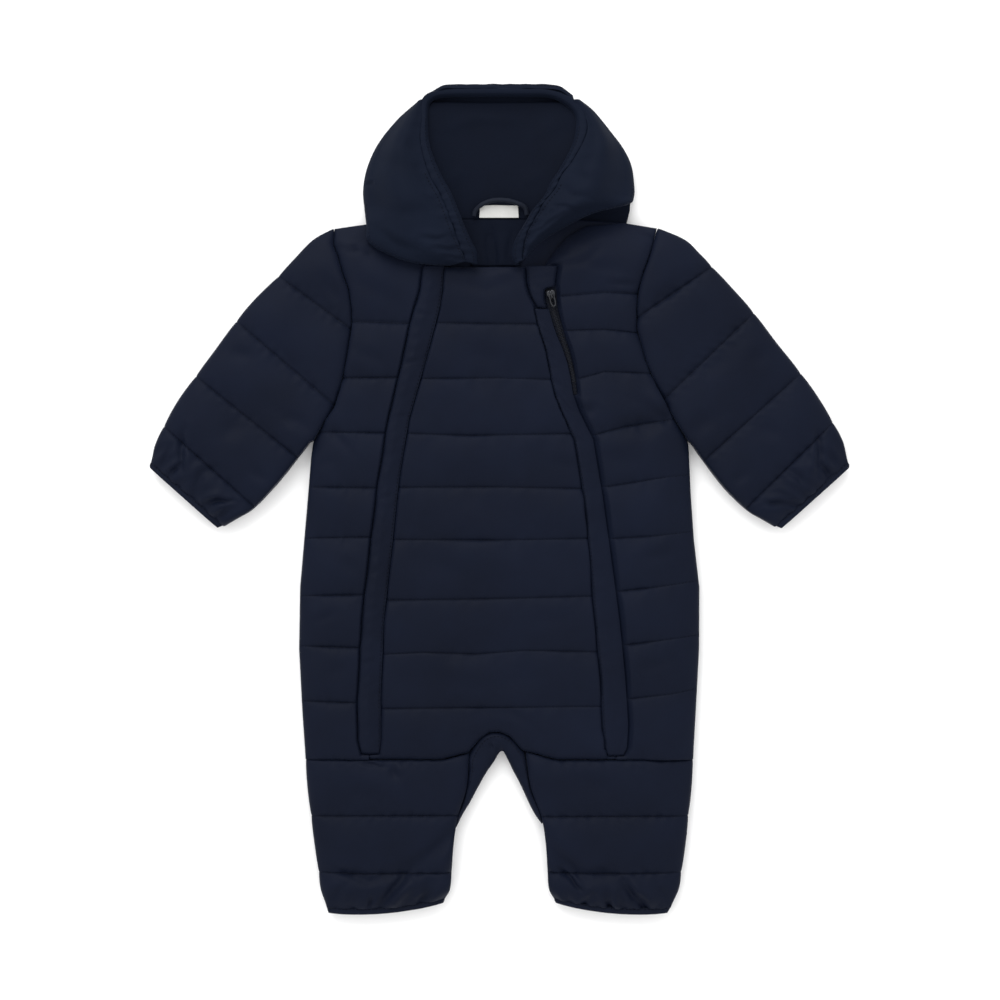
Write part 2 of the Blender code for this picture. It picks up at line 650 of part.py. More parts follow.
def hood_side(name, rows):
    """A padded hood side that swells from its casing seam and rolls down to its outer edge."""
    outer = []
    inner = []
    for row in filled_in(rows, 2):
        upper = []
        lower = []
        for part in (0, 0.1, 0.35, 0.6, 0.8, 0.93, 1):
            x = row["ix"] + part * (row["ox"] - row["ix"])
            y = row["iy"] + part * (row["oy"] - row["iy"])
            fall = 1.0 - math.sqrt(max(0.0, 1.0 - part ** 2.6))
            z = row["iz"] + fall * (row["oz"] - row["iz"])
            z += row["swell"] * math.sin(math.pi * min(1.0, part * 1.15)) * 0.8
            thick = HOOD_EDGE + (HOOD_WALL - HOOD_EDGE) * roll(min(part, 1 - part), 0.4)
            upper.append((x, y, z))
            lower.append((x, y, max(z - thick, row["oz"] - HOOD_EDGE)))
        outer.append(upper)
        inner.append(lower)
    return wall(name, outer, inner, HOOD_NAVY)


hood_side("hood_left", HOOD_LEFT)
hood_side("hood_right", HOOD_RIGHT)

outer = []
inner = []
for row in CASING:
    upper = []
    lower = []
    for part, drop in ((0, 0), (0.35, -0.8), (0.75, 1.2), (1, 4.2)):
        x = row["ox"] + part * (row["ix"] - row["ox"])
        y = row["oy"] + part * (row["iy"] - row["oy"])
        upper.append((x, y, row["z"] - drop))
        lower.append((x, y, row["z"] - 5.6 - (0 if part < 1 else 1.0)))
    outer.append(upper)
    inner.append(lower)
wall("hood_casing", outer, inner, HOOD_NAVY)

outer = []
inner = []
for row in HOOD_LINING:
    upper = []
    lower = []
    for part in (0, 0.12, 0.3, 0.5, 0.7, 0.88, 1):
        x = row["left"] + part * (row["right"] - row["left"])
        z = HOOD_BACK_TOP + SEAM_GAP + row["rise"] * abs(2 * part - 1) ** 2.5 * 0.6
        upper.append((x, row["y"], z + LINING))
        lower.append((x, row["y"], z))
    outer.append(upper)
    inner.append(lower)
wall("hood_lining", outer, inner, LINING_NAVY, 0.8)

outer = []
inner = []
for row in BACK_LINING:
    upper = []
    lower = []
    for k in range(5):
        x = row["left"] + k / 4 * (row["right"] - row["left"])
        upper.append((x, row["y"], BACK_TOP + SEAM_GAP + LINING))
        lower.append((x, row["y"], BACK_TOP + SEAM_GAP))
    outer.append(upper)
    inner.append(lower)
wall("back_lining", outer, inner, LINING_NAVY, 0.8)

curve = bpy.data.curves.new("hanger_loop", "CURVE")
curve.dimensions = "3D"
curve.bevel_depth = LOOP_RADIUS * MM
curve.bevel_resolution = 1
curve.use_fill_caps = True
curve.resolution_u = 2
line = curve.splines.new("POLY")
line.points.add(len(HANGER_LOOP) - 1)
for point, row in zip(line.points, HANGER_LOOP):
    point.co = (row["x"] * MM, row["y"] * MM, row["z"] * MM, 1)
finish_piece("hanger_loop", curve, LINING_NAVY, 0.7)

label_base = HOOD_BACK_TOP + LINING + 2 * SEAM_GAP + 0.6
bpy.ops.mesh.primitive_cube_add(
    size=1,
    location=(LABEL_X * MM, LABEL_Y * MM, (label_base + LABEL_THICK / 2) * MM),
    scale=(LABEL_WIDTH * MM, LABEL_HEIGHT * MM, LABEL_THICK * MM),
)
label = bpy.context.object
label.data.transform(label.matrix_world)
label.matrix_world.identity()
label_mesh = label.data
bpy.data.objects.remove(label)
finish_piece("neck_label", label_mesh, LABEL_WHITE, 0.6)

# ---- Zips ----------------------------------------------------------------------------------

bed = ZIP_BED + SEAM_GAP
strip("zip_flap_left", FLAP_LEFT, bed, SHELL_NAVY)
strip("zip_flap_right", FLAP_RIGHT, bed, SHELL_NAVY, tilt=(0.9, 1.0, 0.9, 0.6, 0.2))
strip("zip_cover_right", ZIP_COVER, bed, SHELL_NAVY)
tape_rows = [dict(row, rise=TAPE_THICK - 1.2 + 0.2) for row in ZIP_TAPE]
strip("zip_tape_right", tape_rows, bed, ZIP_BLACK, 0.6, tilt=(0, 1, 1, 0))


def block(bm, centre, size, lean=0.0):
    """A box of the given size, turned about the vertical."""
    made = bmesh.ops.create_cube(bm, size=1.0)
    for vert in made["verts"]:
        x = vert.co.x * size[0]
        y = vert.co.y * size[1]
        vert.co = (
            (centre[0] + x * math.cos(lean) - y * math.sin(lean)) * MM,
            (centre[1] + x * math.sin(lean) + y * math.cos(lean)) * MM,
            (centre[2] + vert.co.z * size[2]) * MM,
        )


tape_top = bed + 1.2 + (TAPE_THICK - 1.0)
slider_low = tape_top + SEAM_GAP
slider_high = slider_low + SLIDER_SIZE[2]
shape = bmesh.new()
block(shape, (*SLIDER_AT, (slider_low + slider_high) / 2), SLIDER_SIZE, ZIP_LEAN)
slider_mesh = bpy.data.meshes.new("zip_slider_right")
shape.to_mesh(slider_mesh)
shape.free()
slider = finish_piece("zip_slider_right", slider_mesh, METAL_GREY, 0.4, 1.0)
rounded = slider.modifiers.new("rounded", "BEVEL")
rounded.width = 0.9 * MM
rounded.segments = 2

# The bridge stands on the slider, and the puller's ring swings on it.
PIN_Z = slider_high + 1.6


def lean_point(across, down, z):
    """A point measured across and down the zip from the bridge."""
    x = SLIDER_AT[0] + across * math.cos(ZIP_LEAN) + down * math.sin(ZIP_LEAN)
    y = SLIDER_AT[1] + across * math.sin(ZIP_LEAN) - down * math.cos(ZIP_LEAN)
    return (x * MM, y * MM, z * MM)


bridge = bpy.data.curves.new("zip_bridge_right", "CURVE")
bridge.dimensions = "3D"
bridge.bevel_depth = PULL_PIN * MM
bridge.bevel_resolution = 2
bridge.use_fill_caps = True
bridge_line = bridge.splines.new("POLY")
bridge_points = (
    (0, -3.4, slider_high + 0.95), (0, -2.8, PIN_Z + 1.2), (0, -1.4, PIN_Z + 2.0),
    (0, 0.6, PIN_Z + 2.0), (0, 2.4, PIN_Z + 1.2), (0, 3.2, slider_high + 0.95),
)
bridge_line.points.add(len(bridge_points) - 1)
for point, place in zip(bridge_line.points, bridge_points):
    point.co = (*lean_point(*place), 1)
finish_piece("zip_bridge_right", bridge, METAL_GREY, 0.4, 1.0)

# Puller: a small loop whose cross bar passes under the bridge.
hinge = bpy.data.objects.new("puller_hinge", None)
hinge.location = lean_point(0, 0, PIN_Z)
hinge.rotation_euler = (0, 0, ZIP_LEAN)
SUIT.objects.link(hinge)
puller = bpy.data.curves.new("zip_puller_right", "CURVE")
puller.dimensions = "3D"
puller.bevel_depth = PULL_THICK / 2 * MM
puller.bevel_resolution = 2
puller_line = puller.splines.new("POLY")
half = PULL_WIDTH / 2
puller_points = (
    (-half, 0, 0), (half, 0, 0), (half, -PULL_LENGTH * 0.7, -0.9),
    (half * 0.5, -PULL_LENGTH, -1.3), (-half * 0.5, -PULL_LENGTH, -1.3),
    (-half, -PULL_LENGTH * 0.7, -0.9),
)
puller_line.points.add(len(puller_points) - 1)
for point, place in zip(puller_line.points, puller_points):
    point.co = (*[v * MM for v in place], 1)
puller_line.use_cyclic_u = True
pull_piece = finish_piece("zip_puller_right", puller, METAL_GREY, 0.4, 1.0)
pull_piece.parent = hinge
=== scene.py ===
import math

import bmesh
import bpy
import numpy as np
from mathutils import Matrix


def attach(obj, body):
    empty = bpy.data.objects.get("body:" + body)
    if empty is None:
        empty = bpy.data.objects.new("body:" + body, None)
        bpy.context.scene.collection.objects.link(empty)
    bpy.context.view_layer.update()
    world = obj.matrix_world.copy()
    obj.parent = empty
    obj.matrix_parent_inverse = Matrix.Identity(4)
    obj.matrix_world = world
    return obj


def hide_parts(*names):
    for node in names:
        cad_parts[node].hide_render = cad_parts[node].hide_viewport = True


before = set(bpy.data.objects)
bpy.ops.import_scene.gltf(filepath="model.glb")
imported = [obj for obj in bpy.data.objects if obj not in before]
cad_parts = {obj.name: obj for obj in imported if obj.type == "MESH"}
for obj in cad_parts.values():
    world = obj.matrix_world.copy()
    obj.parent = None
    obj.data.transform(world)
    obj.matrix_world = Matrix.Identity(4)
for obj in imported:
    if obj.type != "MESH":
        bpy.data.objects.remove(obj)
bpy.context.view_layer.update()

MM = 0.001

# ---- Table, light and camera ---------------------------------------------------------------
# The suit lies on a plain white table under a soft white tent of light. One large lamp stands
# beyond the hood, so that the lower slopes of the padding are a little darker.

TENT_STRENGTH = 1.3
LAMP_PLACE = (-0.45, 1.7, 1.5)
LAMP_SIZE = 1.6
LAMP_POWER = 34.0
VIEW_WIDTH = 0.8         # metres of table across the picture
LENS = 85.0
SENSOR = 36.0
AIM = (0.0004, -0.0004)   # the point of the table below the camera
SUIT_MIDDLE = 0.012      # height at which the view is VIEW_WIDTH across
TABLE_DROP = 0.0004      # the table lies this far below the suit
TABLE_REACH = 4

world = bpy.data.worlds.new("light_tent")
bpy.context.scene.world = world
world.use_nodes = True
world.node_tree.nodes["Background"].inputs["Color"].default_value = (1.0, 1.0, 1.0, 1.0)
world.node_tree.nodes["Background"].inputs["Strength"].default_value = TENT_STRENGTH
bpy.context.scene.view_settings.view_transform = "Standard"

lamp_data = bpy.data.lights.new("soft_lamp", "AREA")
lamp_data.shape = "SQUARE"
lamp_data.size = LAMP_SIZE
lamp_data.energy = LAMP_POWER
lamp = bpy.data.objects.new("soft_lamp", lamp_data)
lamp.location = LAMP_PLACE
lamp.rotation_euler = (-math.atan2(LAMP_PLACE[1], LAMP_PLACE[2]), 0.0, 0.0)
lamp.rotation_euler.rotate_axis("Y", math.atan2(LAMP_PLACE[0], LAMP_PLACE[2]))
bpy.context.scene.collection.objects.link(lamp)

camera_data = bpy.data.cameras.new("camera")
camera_data.lens = LENS
camera_data.sensor_width = SENSOR
camera = bpy.data.objects.new("camera", camera_data)
camera.location = (*AIM, VIEW_WIDTH * LENS / SENSOR + SUIT_MIDDLE)
bpy.context.scene.collection.objects.link(camera)
bpy.context.scene.camera = camera

table_shape = bmesh.new()
corners = [
    table_shape.verts.new((x * TABLE_REACH, y * TABLE_REACH, -TABLE_DROP))
    for x, y in ((-1, -1), (1, -1), (1, 1), (-1, 1))
]
table_shape.faces.new(corners)
table_mesh = bpy.data.meshes.new("table_top")
table_shape.to_mesh(table_mesh)
table_shape.free()
table_top = bpy.data.objects.new("table_top", table_mesh)
bpy.context.scene.collection.objects.link(table_top)
white_board = bpy.data.materials.new("white_board")
white_board.use_nodes = True
board = white_board.node_tree.nodes["Principled BSDF"]
board.inputs["Base Color"].default_value = (0.92, 0.92, 0.92, 1.0)
board.inputs["Roughness"].default_value = 0.9
board.inputs["Specular IOR Level"].default_value = 0.1
table_mesh.materials.append(white_board)

# ---- Back of the body ----------------------------------------------------------------------
# One quilted panel of light polyester wadding between a plain-woven navy nylon shell and its
# lining. It lies flat on the table with its cross seams pressed up into shallow grooves, and
# its edges roll up to the side seams and the crotch.

BACK_TOP = 8.0           # where the back meets the front, above the table
SEAM_GAP = 0.3
EDGE_THIN = 2.6          # each layer's thickness at the outline
TABLE_ROLL = 16.0        # width over which the underside lifts off the table
SHELL_NAVY = (0.0037, 0.0060, 0.0153)
THREAD_NAVY = (0.0026, 0.0042, 0.0102)
LEG_SEAM_Y = -208.0
ARMPIT_Y = 46.0

BODY_EDGE = np.array((
    # y, left, right
    (224, -128, 124), (217, -132, 126), (203, -132.5, 122), (195, -129, 119.5),
    (180, -125, 114), (167, -120, 111), (152, -118, 109.2), (137, -118, 109.5),
    (112, -122, 116), (89, -127, 126), (74, -131.5, 134), (62, -140, 141), (46, -149, 151),
    (34, -150.8, 151.8), (6, -153, 153), (-32, -156.3, 155.6), (-70, -159.6, 160),
    (-120, -160.4, 159.8), (-167, -158, 157.3), (-208, -155.2, 155),
))[::-1]
BACK_TOP_EDGE = ((-133, 216.6), (-100, 221.6), (-62, 224.3), (60, 224.3), (100, 221.6), (127, 217))
ARCH = (
    (-46, -208), (-25, -202.6), (-15.5, -191.6), (-8, -186.4), (0, -186), (8, -189),
    (18.4, -200.6), (46, -208),
)
BACK_SEAMS = (188, 141, 96, 51, 8, -34, -77, -120, -164)


def body_edge(y, column):
    """Side edge of the body at a height y: the armhole down to the armpit, then the side seam."""
    return np.interp(y, BODY_EDGE[:, 0], BODY_EDGE[:, column])


def on_line(x, points):
    """Height y of a line of points at x."""
    return np.interp(x, [p[0] for p in points], [p[1] for p in points])


def eased(part):
    part = np.clip(part, 0.0, 1.0)
    return part * part * (3.0 - 2.0 * part)


def roll(depth, width):
    """0 at an edge, 1 from the given width inwards, round in between."""
    part = np.clip(depth / width, 0.0, 1.0)
    return np.sqrt(1.0 - (1.0 - part) ** 2)


def ripple(x, y, length, seed):
    """A smooth uneven field, from about -1 to 1, with waves about this long."""
    total = np.zeros(np.broadcast(x, y).shape)
    for turn, phase, stretch in np.random.default_rng(seed).uniform(size=(7, 3)):
        wave = 2 * math.pi / (length * (0.7 + 0.8 * stretch))
        lean = 2 * math.pi * turn
        total += np.cos(wave * (x * math.cos(lean) + y * math.sin(lean)) + 2 * math.pi * phase)
    return total / 3.2


def near_path(x, y, path):
    """Distance from a line of points, positive on its left, and the share of its length there."""
    best = np.full(x.shape, 1e9)
    signed = np.zeros(x.shape)
    share = np.zeros(x.shape)
    lengths = [math.dist(a, b) for a, b in zip(path, path[1:])]
    walked = 0.0
    for (ax, ay), (bx, by), length in zip(path, path[1:], lengths):
        dx = (bx - ax) / length
        dy = (by - ay) / length
        reach = np.clip((x - ax) * dx + (y - ay) * dy, 0.0, length)
        off_x = x - ax - reach * dx
        off_y = y - ay - reach * dy
        away = np.hypot(off_x, off_y)
        closer = away < best
        best = np.where(closer, away, best)
        signed = np.where(closer, np.where(dx * off_y - dy * off_x >= 0, away, -away), signed)
        share = np.where(closer, (walked + reach) / sum(lengths), share)
        walked += length
    return signed, share


def creased(x, y, creases):
    """Change in height from listed creases.

    Each is (depth, width, lip, path): a soft trough that fades at both ends, with a low ridge,
    lip times as high as the trough is deep, on its left. A negative depth makes a ridge.
    """
    change = np.zeros(x.shape)
    for number, (depth, width, lip, path) in enumerate(creases):
        reach = 5.0 * width
        xs = [p[0] for p in path]
        ys = [p[1] for p in path]
        close = (x > min(xs) - reach) & (x < max(xs) + reach)
        close &= (y > min(ys) - reach) & (y < max(ys) + reach)
        if not close.any():
            continue
        away, share = near_path(x[close], y[close], path)
        wander = 0.3 * width * ripple(x[close], y[close], 9 * width, 40 + number)
        away = away + wander
        fade = np.sin(math.pi * (0.06 + 0.88 * share)) ** 0.7
        trough = np.exp(-((away / width) ** 2))
        ridge = lip * np.exp(-(((away - 1.9 * width) / (1.3 * width)) ** 2))
        change[close] += depth * fade * (ridge - trough)
    return change


def graded(count, pull=0.6):
    """Shares from 0 up to 1, closer together at both ends."""
    even = np.arange(count) / count
    return pull * (0.5 - 0.5 * np.cos(math.pi * even)) + (1 - pull) * even


def cloth_material(name, colour, rough, thread, crinkle, sheen=0.025, specular=0.06):
    """Woven cloth: threads across and along, soft crinkles, and slight changes of shade.

    thread is the width of one yarn and crinkle the size of the fine wrinkles, both in mm.
    """
    material = bpy.data.materials.new(name)
    material.use_nodes = True
    nodes = material.node_tree.nodes
    link = material.node_tree.links.new
    shader = nodes["Principled BSDF"]
    shader.inputs["Sheen Weight"].default_value = sheen
    shader.inputs["Sheen Roughness"].default_value = 0.45
    shader.inputs["Sheen Tint"].default_value = (0.55, 0.65, 1.0, 1.0)
    shader.inputs["Specular IOR Level"].default_value = specular
    place = nodes.new("ShaderNodeTexCoord")

    shade = nodes.new("ShaderNodeTexNoise")
    shade.inputs["Scale"].default_value = 14.0
    shade.inputs["Detail"].default_value = 5.0
    shade.inputs["Roughness"].default_value = 0.6
    link(place.outputs["Object"], shade.inputs["Vector"])
    tones = nodes.new("ShaderNodeValToRGB")
    tones.color_ramp.elements[0].position = 0.3
    tones.color_ramp.elements[1].position = 0.72
    tones.color_ramp.elements[0].color = (*[0.84 * c for c in colour], 1.0)
    tones.color_ramp.elements[1].color = (*[1.14 * c for c in colour], 1.0)
    link(shade.outputs["Fac"], tones.inputs["Fac"])

    yarns = []
    for direction in ("X", "Y"):
        yarn = nodes.new("ShaderNodeTexWave")
        yarn.wave_type = "BANDS"
        yarn.bands_direction = direction
        yarn.inputs["Scale"].default_value = math.pi / 10 / (2 * thread * MM)
        yarn.inputs["Distortion"].default_value = 0.5
        yarn.inputs["Detail"].default_value = 1.0
        yarn.inputs["Detail Scale"].default_value = 1.6
        link(place.outputs["Object"], yarn.inputs["Vector"])
        yarns.append(yarn)
    weave = nodes.new("ShaderNodeMath")
    weave.operation = "MULTIPLY"
    link(yarns[0].outputs["Fac"], weave.inputs[0])
    link(yarns[1].outputs["Fac"], weave.inputs[1])
    yarn_shade = nodes.new("ShaderNodeMixRGB")
    yarn_shade.blend_type = "MULTIPLY"
    yarn_shade.inputs["Fac"].default_value = 0.22
    link(tones.outputs["Color"], yarn_shade.inputs["Color1"])
    link(weave.outputs["Value"], yarn_shade.inputs["Color2"])
    link(yarn_shade.outputs["Color"], shader.inputs["Base Color"])

    gloss = nodes.new("ShaderNodeMapRange")
    gloss.inputs["To Min"].default_value = rough - 0.06
    gloss.inputs["To Max"].default_value = rough + 0.08
    link(shade.outputs["Fac"], gloss.inputs["Value"])
    link(gloss.outputs["Result"], shader.inputs["Roughness"])

    wrinkles = nodes.new("ShaderNodeTexNoise")
    wrinkles.inputs["Scale"].default_value = 1.0 / (crinkle * MM)
    wrinkles.inputs["Detail"].default_value = 4.0
    wrinkles.inputs["Roughness"].default_value = 0.55
    wrinkles.inputs["Distortion"].default_value = 0.6
    link(place.outputs["Object"], wrinkles.inputs["Vector"])
    soft_bump = nodes.new("ShaderNodeBump")
    soft_bump.inputs["Strength"].default_value = 0.35
    soft_bump.inputs["Distance"].default_value = 0.06 * crinkle * MM
    link(wrinkles.outputs["Fac"], soft_bump.inputs["Height"])
    weave_bump = nodes.new("ShaderNodeBump")
    weave_bump.inputs["Strength"].default_value = 0.25
    weave_bump.inputs["Distance"].default_value = 0.25 * thread * MM
    link(weave.outputs["Value"], weave_bump.inputs["Height"])
    link(soft_bump.outputs["Normal"], weave_bump.inputs["Normal"])
    link(weave_bump.outputs["Normal"], shader.inputs["Normal"])
    return material


def stitches(path, pitch=3.0, length=2.2, thick=0.34):
    """Points and faces of a row of thread stitches lying along a path, in mm."""
    path = np.asarray(path, float)
    steps = np.linalg.norm(np.diff(path, axis=0), axis=1)
    walked = np.concatenate(([0.0], np.cumsum(steps)))
    points = []
    faces = []
    for start in np.arange(0.5 * pitch, walked[-1] - length, pitch):
        a = np.array([np.interp(start, walked, path[:, k]) for k in range(3)])
        b = np.array([np.interp(start + length, walked, path[:, k]) for k in range(3)])
        run = b - a
        aside = np.cross(run, (0, 0, 1))
        aside *= thick / max(1e-6, np.linalg.norm(aside))
        up = np.cross(aside, run)
        up *= thick / max(1e-6, np.linalg.norm(up))
        first = len(points)
        points.append(a - 0.3 * up)
        for share in (0.25, 0.75):
            middle = a + share * run + 0.35 * up
            points += [middle + aside, middle + up, middle - aside, middle - up]
        points.append(b - 0.3 * up)
        for k in range(4):
            m = (k + 1) % 4
            faces.append((first, first + 1 + m, first + 1 + k))
            faces.append((first + 1 + k, first + 1 + m, first + 5 + m, first + 5 + k))
            faces.append((first + 9, first + 5 + k, first + 5 + m))
    return points, faces


def sew(name, outer, inner, cloth, node, threads=(), ring=False, lined=None):
    """One piece of cloth, from two matching grids of points in mm, with its rows of stitches.

    The grids are its outer and inner faces. They are closed round the rim, or, for a ring,
    at its two ends.
    """
    rows, columns = outer.shape[:2]
    count = rows * columns
    row, column = np.meshgrid(np.arange(rows - 1), np.arange(columns - 1 + ring), indexing="ij")
    following = (column + 1) % columns
    a = row * columns + column
    b = row * columns + following
    c = (row + 1) * columns + following
    d = (row + 1) * columns + column
    quads = np.stack((a, b, c, d), -1).reshape(-1, 4)
    faces = [tuple(q) for q in quads.tolist()]
    faces += [tuple(q) for q in (quads[:, ::-1] + count).tolist()]
    smooth = len(faces)
    if ring:
        loops = [[r * columns + k for k in range(columns)] for r in (0, rows - 1)]
    else:
        rim = list(range(columns)) + [r * columns + columns - 1 for r in range(1, rows)]
        rim += [(rows - 1) * columns + k for k in range(columns - 2, -1, -1)]
        rim += [r * columns for r in range(rows - 2, 0, -1)]
        loops = [rim]
    for loop in loops:
        for p, q in zip(loop, loop[1:] + loop[:1]):
            faces.append((q, p, p + count, q + count))
    cloth_faces = len(faces)
    points = np.concatenate((outer.reshape(-1, 3), inner.reshape(-1, 3)))
    for thread in threads:
        more, thread_faces = stitches(thread)
        if more:
            faces += [tuple(len(points) + k for k in face) for face in thread_faces]
            points = np.concatenate((points, more))
    mesh = bpy.data.meshes.new(name)
    mesh.from_pydata((points * MM).tolist(), [], faces)
    shape = bmesh.new()
    shape.from_mesh(mesh)
    bmesh.ops.recalc_face_normals(shape, faces=shape.faces)
    shape.to_mesh(mesh)
    shape.free()
    is_smooth = np.ones(len(faces), bool)
    is_smooth[smooth:cloth_faces] = False
    mesh.polygons.foreach_set("use_smooth", is_smooth)
    mesh.materials.append(cloth)
    mesh.materials.append(sewing_thread)
    material_index = np.zeros(len(faces), np.int32)
    material_index[cloth_faces:] = 1
    if lined:
        mesh.materials.append(lined)
        material_index[len(quads) : 2 * len(quads)] = 2
    mesh.polygons.foreach_set("material_index", material_index)
    piece = bpy.data.objects.new(name, mesh)
    bpy.context.scene.collection.objects.link(piece)
    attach(piece, "suit")
    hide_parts(node)
    return piece


shell_cloth = cloth_material("navy_shell_cloth", SHELL_NAVY, 0.56, 0.22, 4.5)
sewing_thread = cloth_material("navy_sewing_thread", THREAD_NAVY, 0.6, 0.12, 1.2)

BACK_COLUMNS = 136
BACK_ROWS = 16           # rows of the grid from one seam to the next
shares = np.linspace(0.0, 1.0, BACK_COLUMNS)
steps = graded(BACK_ROWS)


def back_x(y):
    left = body_edge(y, 1)
    return left + shares * (body_edge(y, 2) - left)


back_rows = []
back_puffs = []
levels = [on_line(back_x(217.0), BACK_TOP_EDGE)]
levels += [np.full(BACK_COLUMNS, float(seam)) for seam in BACK_SEAMS]
levels.append(on_line(back_x(LEG_SEAM_Y), ARCH) + SEAM_GAP)
for above, below in zip(levels, levels[1:]):
    for step in steps:
        back_rows.append(above + step * (below - above))
        back_puffs.append(math.sin(math.pi * step) ** 0.5)
back_rows.append(levels[-1])
back_puffs.append(1.0)
back_puffs[0] = 1.0
back_y = np.array(back_rows)
back_left = body_edge(np.minimum(back_y, 217.0), 1)
back_right = body_edge(np.minimum(back_y, 217.0), 2)
back_grid_x = back_left + shares * (back_right - back_left)
back_edge = np.minimum(back_grid_x - back_left, back_right - back_grid_x) + 0.0
back_edge = np.where(back_y > ARMPIT_Y, back_edge + 0.5 * (back_y - ARMPIT_Y), back_edge)
back_edge = np.minimum(back_edge, levels[0] - back_y)
back_edge = np.minimum(back_edge, 0.5 * TABLE_ROLL + np.abs(back_y - levels[-1]))
groove = 1.0 - np.array(back_puffs)[:, None]
back_low = (BACK_TOP - EDGE_THIN) * (1.0 - roll(back_edge, TABLE_ROLL))
back_low += 1.9 * groove * (0.75 + 0.25 * ripple(back_grid_x, back_y, 30, 3))
pucker = 0.35 * (1 + ripple(back_grid_x, 0.15 * back_y, 9, 4)) * np.exp(-((1 - groove) / 0.3) ** 2)
back_low += pucker * roll(back_edge, TABLE_ROLL)
back_low = np.minimum(back_low, BACK_TOP - 1.0)
under = np.stack((back_grid_x, back_y, back_low), -1)
inside = np.stack((back_grid_x, back_y, np.full(back_y.shape, BACK_TOP)), -1)
back_threads = [under[BACK_ROWS * k] for k in range(1, len(BACK_SEAMS) + 1)]
back_body = sew(
    "back_body_quilted", under, inside, shell_cloth, "back_body",
    [row - (0, 0, 0.1) for row in back_threads],
)

# ---- Front of the body ---------------------------------------------------------------------
# A centre panel and two side panels of the same padded shell, each quilted in level channels.
# The centre runs from the neck to the crotch arch; the sides carry the shoulders. They meet
# at the two zips, where the cloth is pressed flat under the flaps.

STITCH_TOP = 15.0        # the front along a quilting seam, above the table
PUFF_RISE = 5.0          # how much the middle of a channel stands above its seams
EDGE_ROLL = 30.0         # width over which the front rolls down to the outline
ZIP_BED = 14.0           # the flat strip under a flap
NECK_Y = 185.5
CHANNEL_ROWS = 26        # rows of the grid from one seam to the next
PUFF_SHAPE = 0.42        # how squarely a channel swells
SEAM_DIP = 3.4           # how far a joining seam pulls the cloth down
SEAM_REACH = 3.2
THREAD_LIFT = (0, 0, 0.05)

ZIP_LINE = np.array((
    # y, left, right
    (190, -53, 35), (182, -53, 35), (168, -54, 36), (153, -58, 38), (138, -62, 42),
    (121, -66, 46), (108, -69, 49), (96, -72, 51), (84, -75.5, 54), (64, -80, 60),
    (48, -84, 66), (15, -89, 72), (-32, -94.5, 79), (-78, -99.5, 84), (-120, -103, 88.5),
    (-160, -104, 92), (-208, -104, 93),
))[::-1]
FLAP_LEFT = np.array((
    # y, left, right, rise
    (187, -60.2, -44.8, 2.4), (181, -61, -45.6, 3), (166, -63, -46.4, 4),
    (152, -67.6, -48.8, 4.5), (136, -71.6, -53, 4.5),
    (120, -75, -57, 4.5), (97, -80, -63.6, 4.5), (64, -88, -73, 4.5), (15, -96, -81, 4.8),
    (-48, -103.6, -87.6, 5), (-96, -109, -93, 5), (-160, -112.4, -95.6, 5),
    (-192, -112.2, -95.4, 5), (-203, -109.6, -97, 3.6),
))[::-1]
FLAP_RIGHT = np.array((
    (152, 28.4, 38.6, 3.6), (140, 31, 42, 4), (131, 33.6, 45, 4.2), (121, 36.8, 49.4, 4.2),
    (109, 39.4, 53.4, 4.2), (97, 41.8, 56, 4.2), (84, 44.4, 58, 4.2), (70, 50, 63, 4.4),
    (48, 60.4, 74, 4.6), (0, 68.4, 82, 4.8), (-48, 73, 88.6, 5), (-96, 76.6, 95, 5),
    (-142, 81.2, 99.6, 5), (-180, 82.8, 102, 5), (-198, 84.6, 101, 4), (-204.5, 87, 98, 2.6),
))[::-1]
COVER = np.array((
    (186.4, 22.2, 45.2, 3.2), (176, 22.6, 44, 3.6), (169.2, 23.6, 43.4, 3.6),
    (168.8, 23.8, 35.4, 3.6), (162, 26, 35, 3.4), (157, 29, 35.4, 3), (153, 31, 36.6, 2.4),
))[::-1]
TAPE = np.array((
    (168, 36.6, 45.4), (158, 37.4, 45.8), (150, 39.8, 47), (140, 43, 49.6), (131, 46, 52),
    (121, 50.4, 55.4), (109, 54.4, 58.6), (97, 57, 60.8), (84, 59, 62),
))[::-1]
SHOULDER_LEFT = (
    (-133, 216.6), (-100, 221.4), (-84, 219), (-72, 211), (-62, 198), (-53, 185.5),
)
SHOULDER_RIGHT = (
    (35, 185.5), (44, 198), (56, 211), (70, 219), (100, 221.4), (127, 217),
)
CENTRE_SEAMS = (
    ((-50, 141), (0, 140), (40, 140)), ((-62, 96.4), (0, 97), (46, 95.6)),
    ((-80, 53), (-24, 51), (60, 52.6)), ((-88, 9.6), (0, 10), (72, 8.4)),
    ((-94, -32), (0, -32.4), (78, -31)), ((-100, -80.6), (-20, -79.6), (84, -77)),
    ((-103, -124), (-60, -122), (-20, -123.6), (20, -120.4), (88, -122)),
    ((-104, -167), (0, -166), (92, -165)),
)
LEFT_SEAMS = (
    ((-119, 142), (-60, 140)), ((-126, 97), (-76, 97.4)), ((-148, 54), (-88, 53)),
    ((-153, 10), (-92, 9)), ((-157, -31), (-98, -30)), ((-160, -77), (-103, -76)),
    ((-160.4, -117), (-104, -118.6)), ((-158, -161), (-108, -162.6)),
)
RIGHT_SEAMS = (
    ((46, 162), (84, 165.4), (110, 164)), ((50, 134.8), (84, 135.6), (110, 133)),
    ((62, 96), (84, 102), (122, 100.6)), ((70, 50), (100, 58), (145, 65)),
    ((68, 9), (88, 10.4), (134, 18), (154, 20)), ((84, -31.6), (122, -29.4), (158, -25)),
    ((90, -74), (125, -70), (160, -64.6)), ((94, -117), (111, -115), (160, -108)),
    ((98, -160), (138, -155), (158, -151)),
)
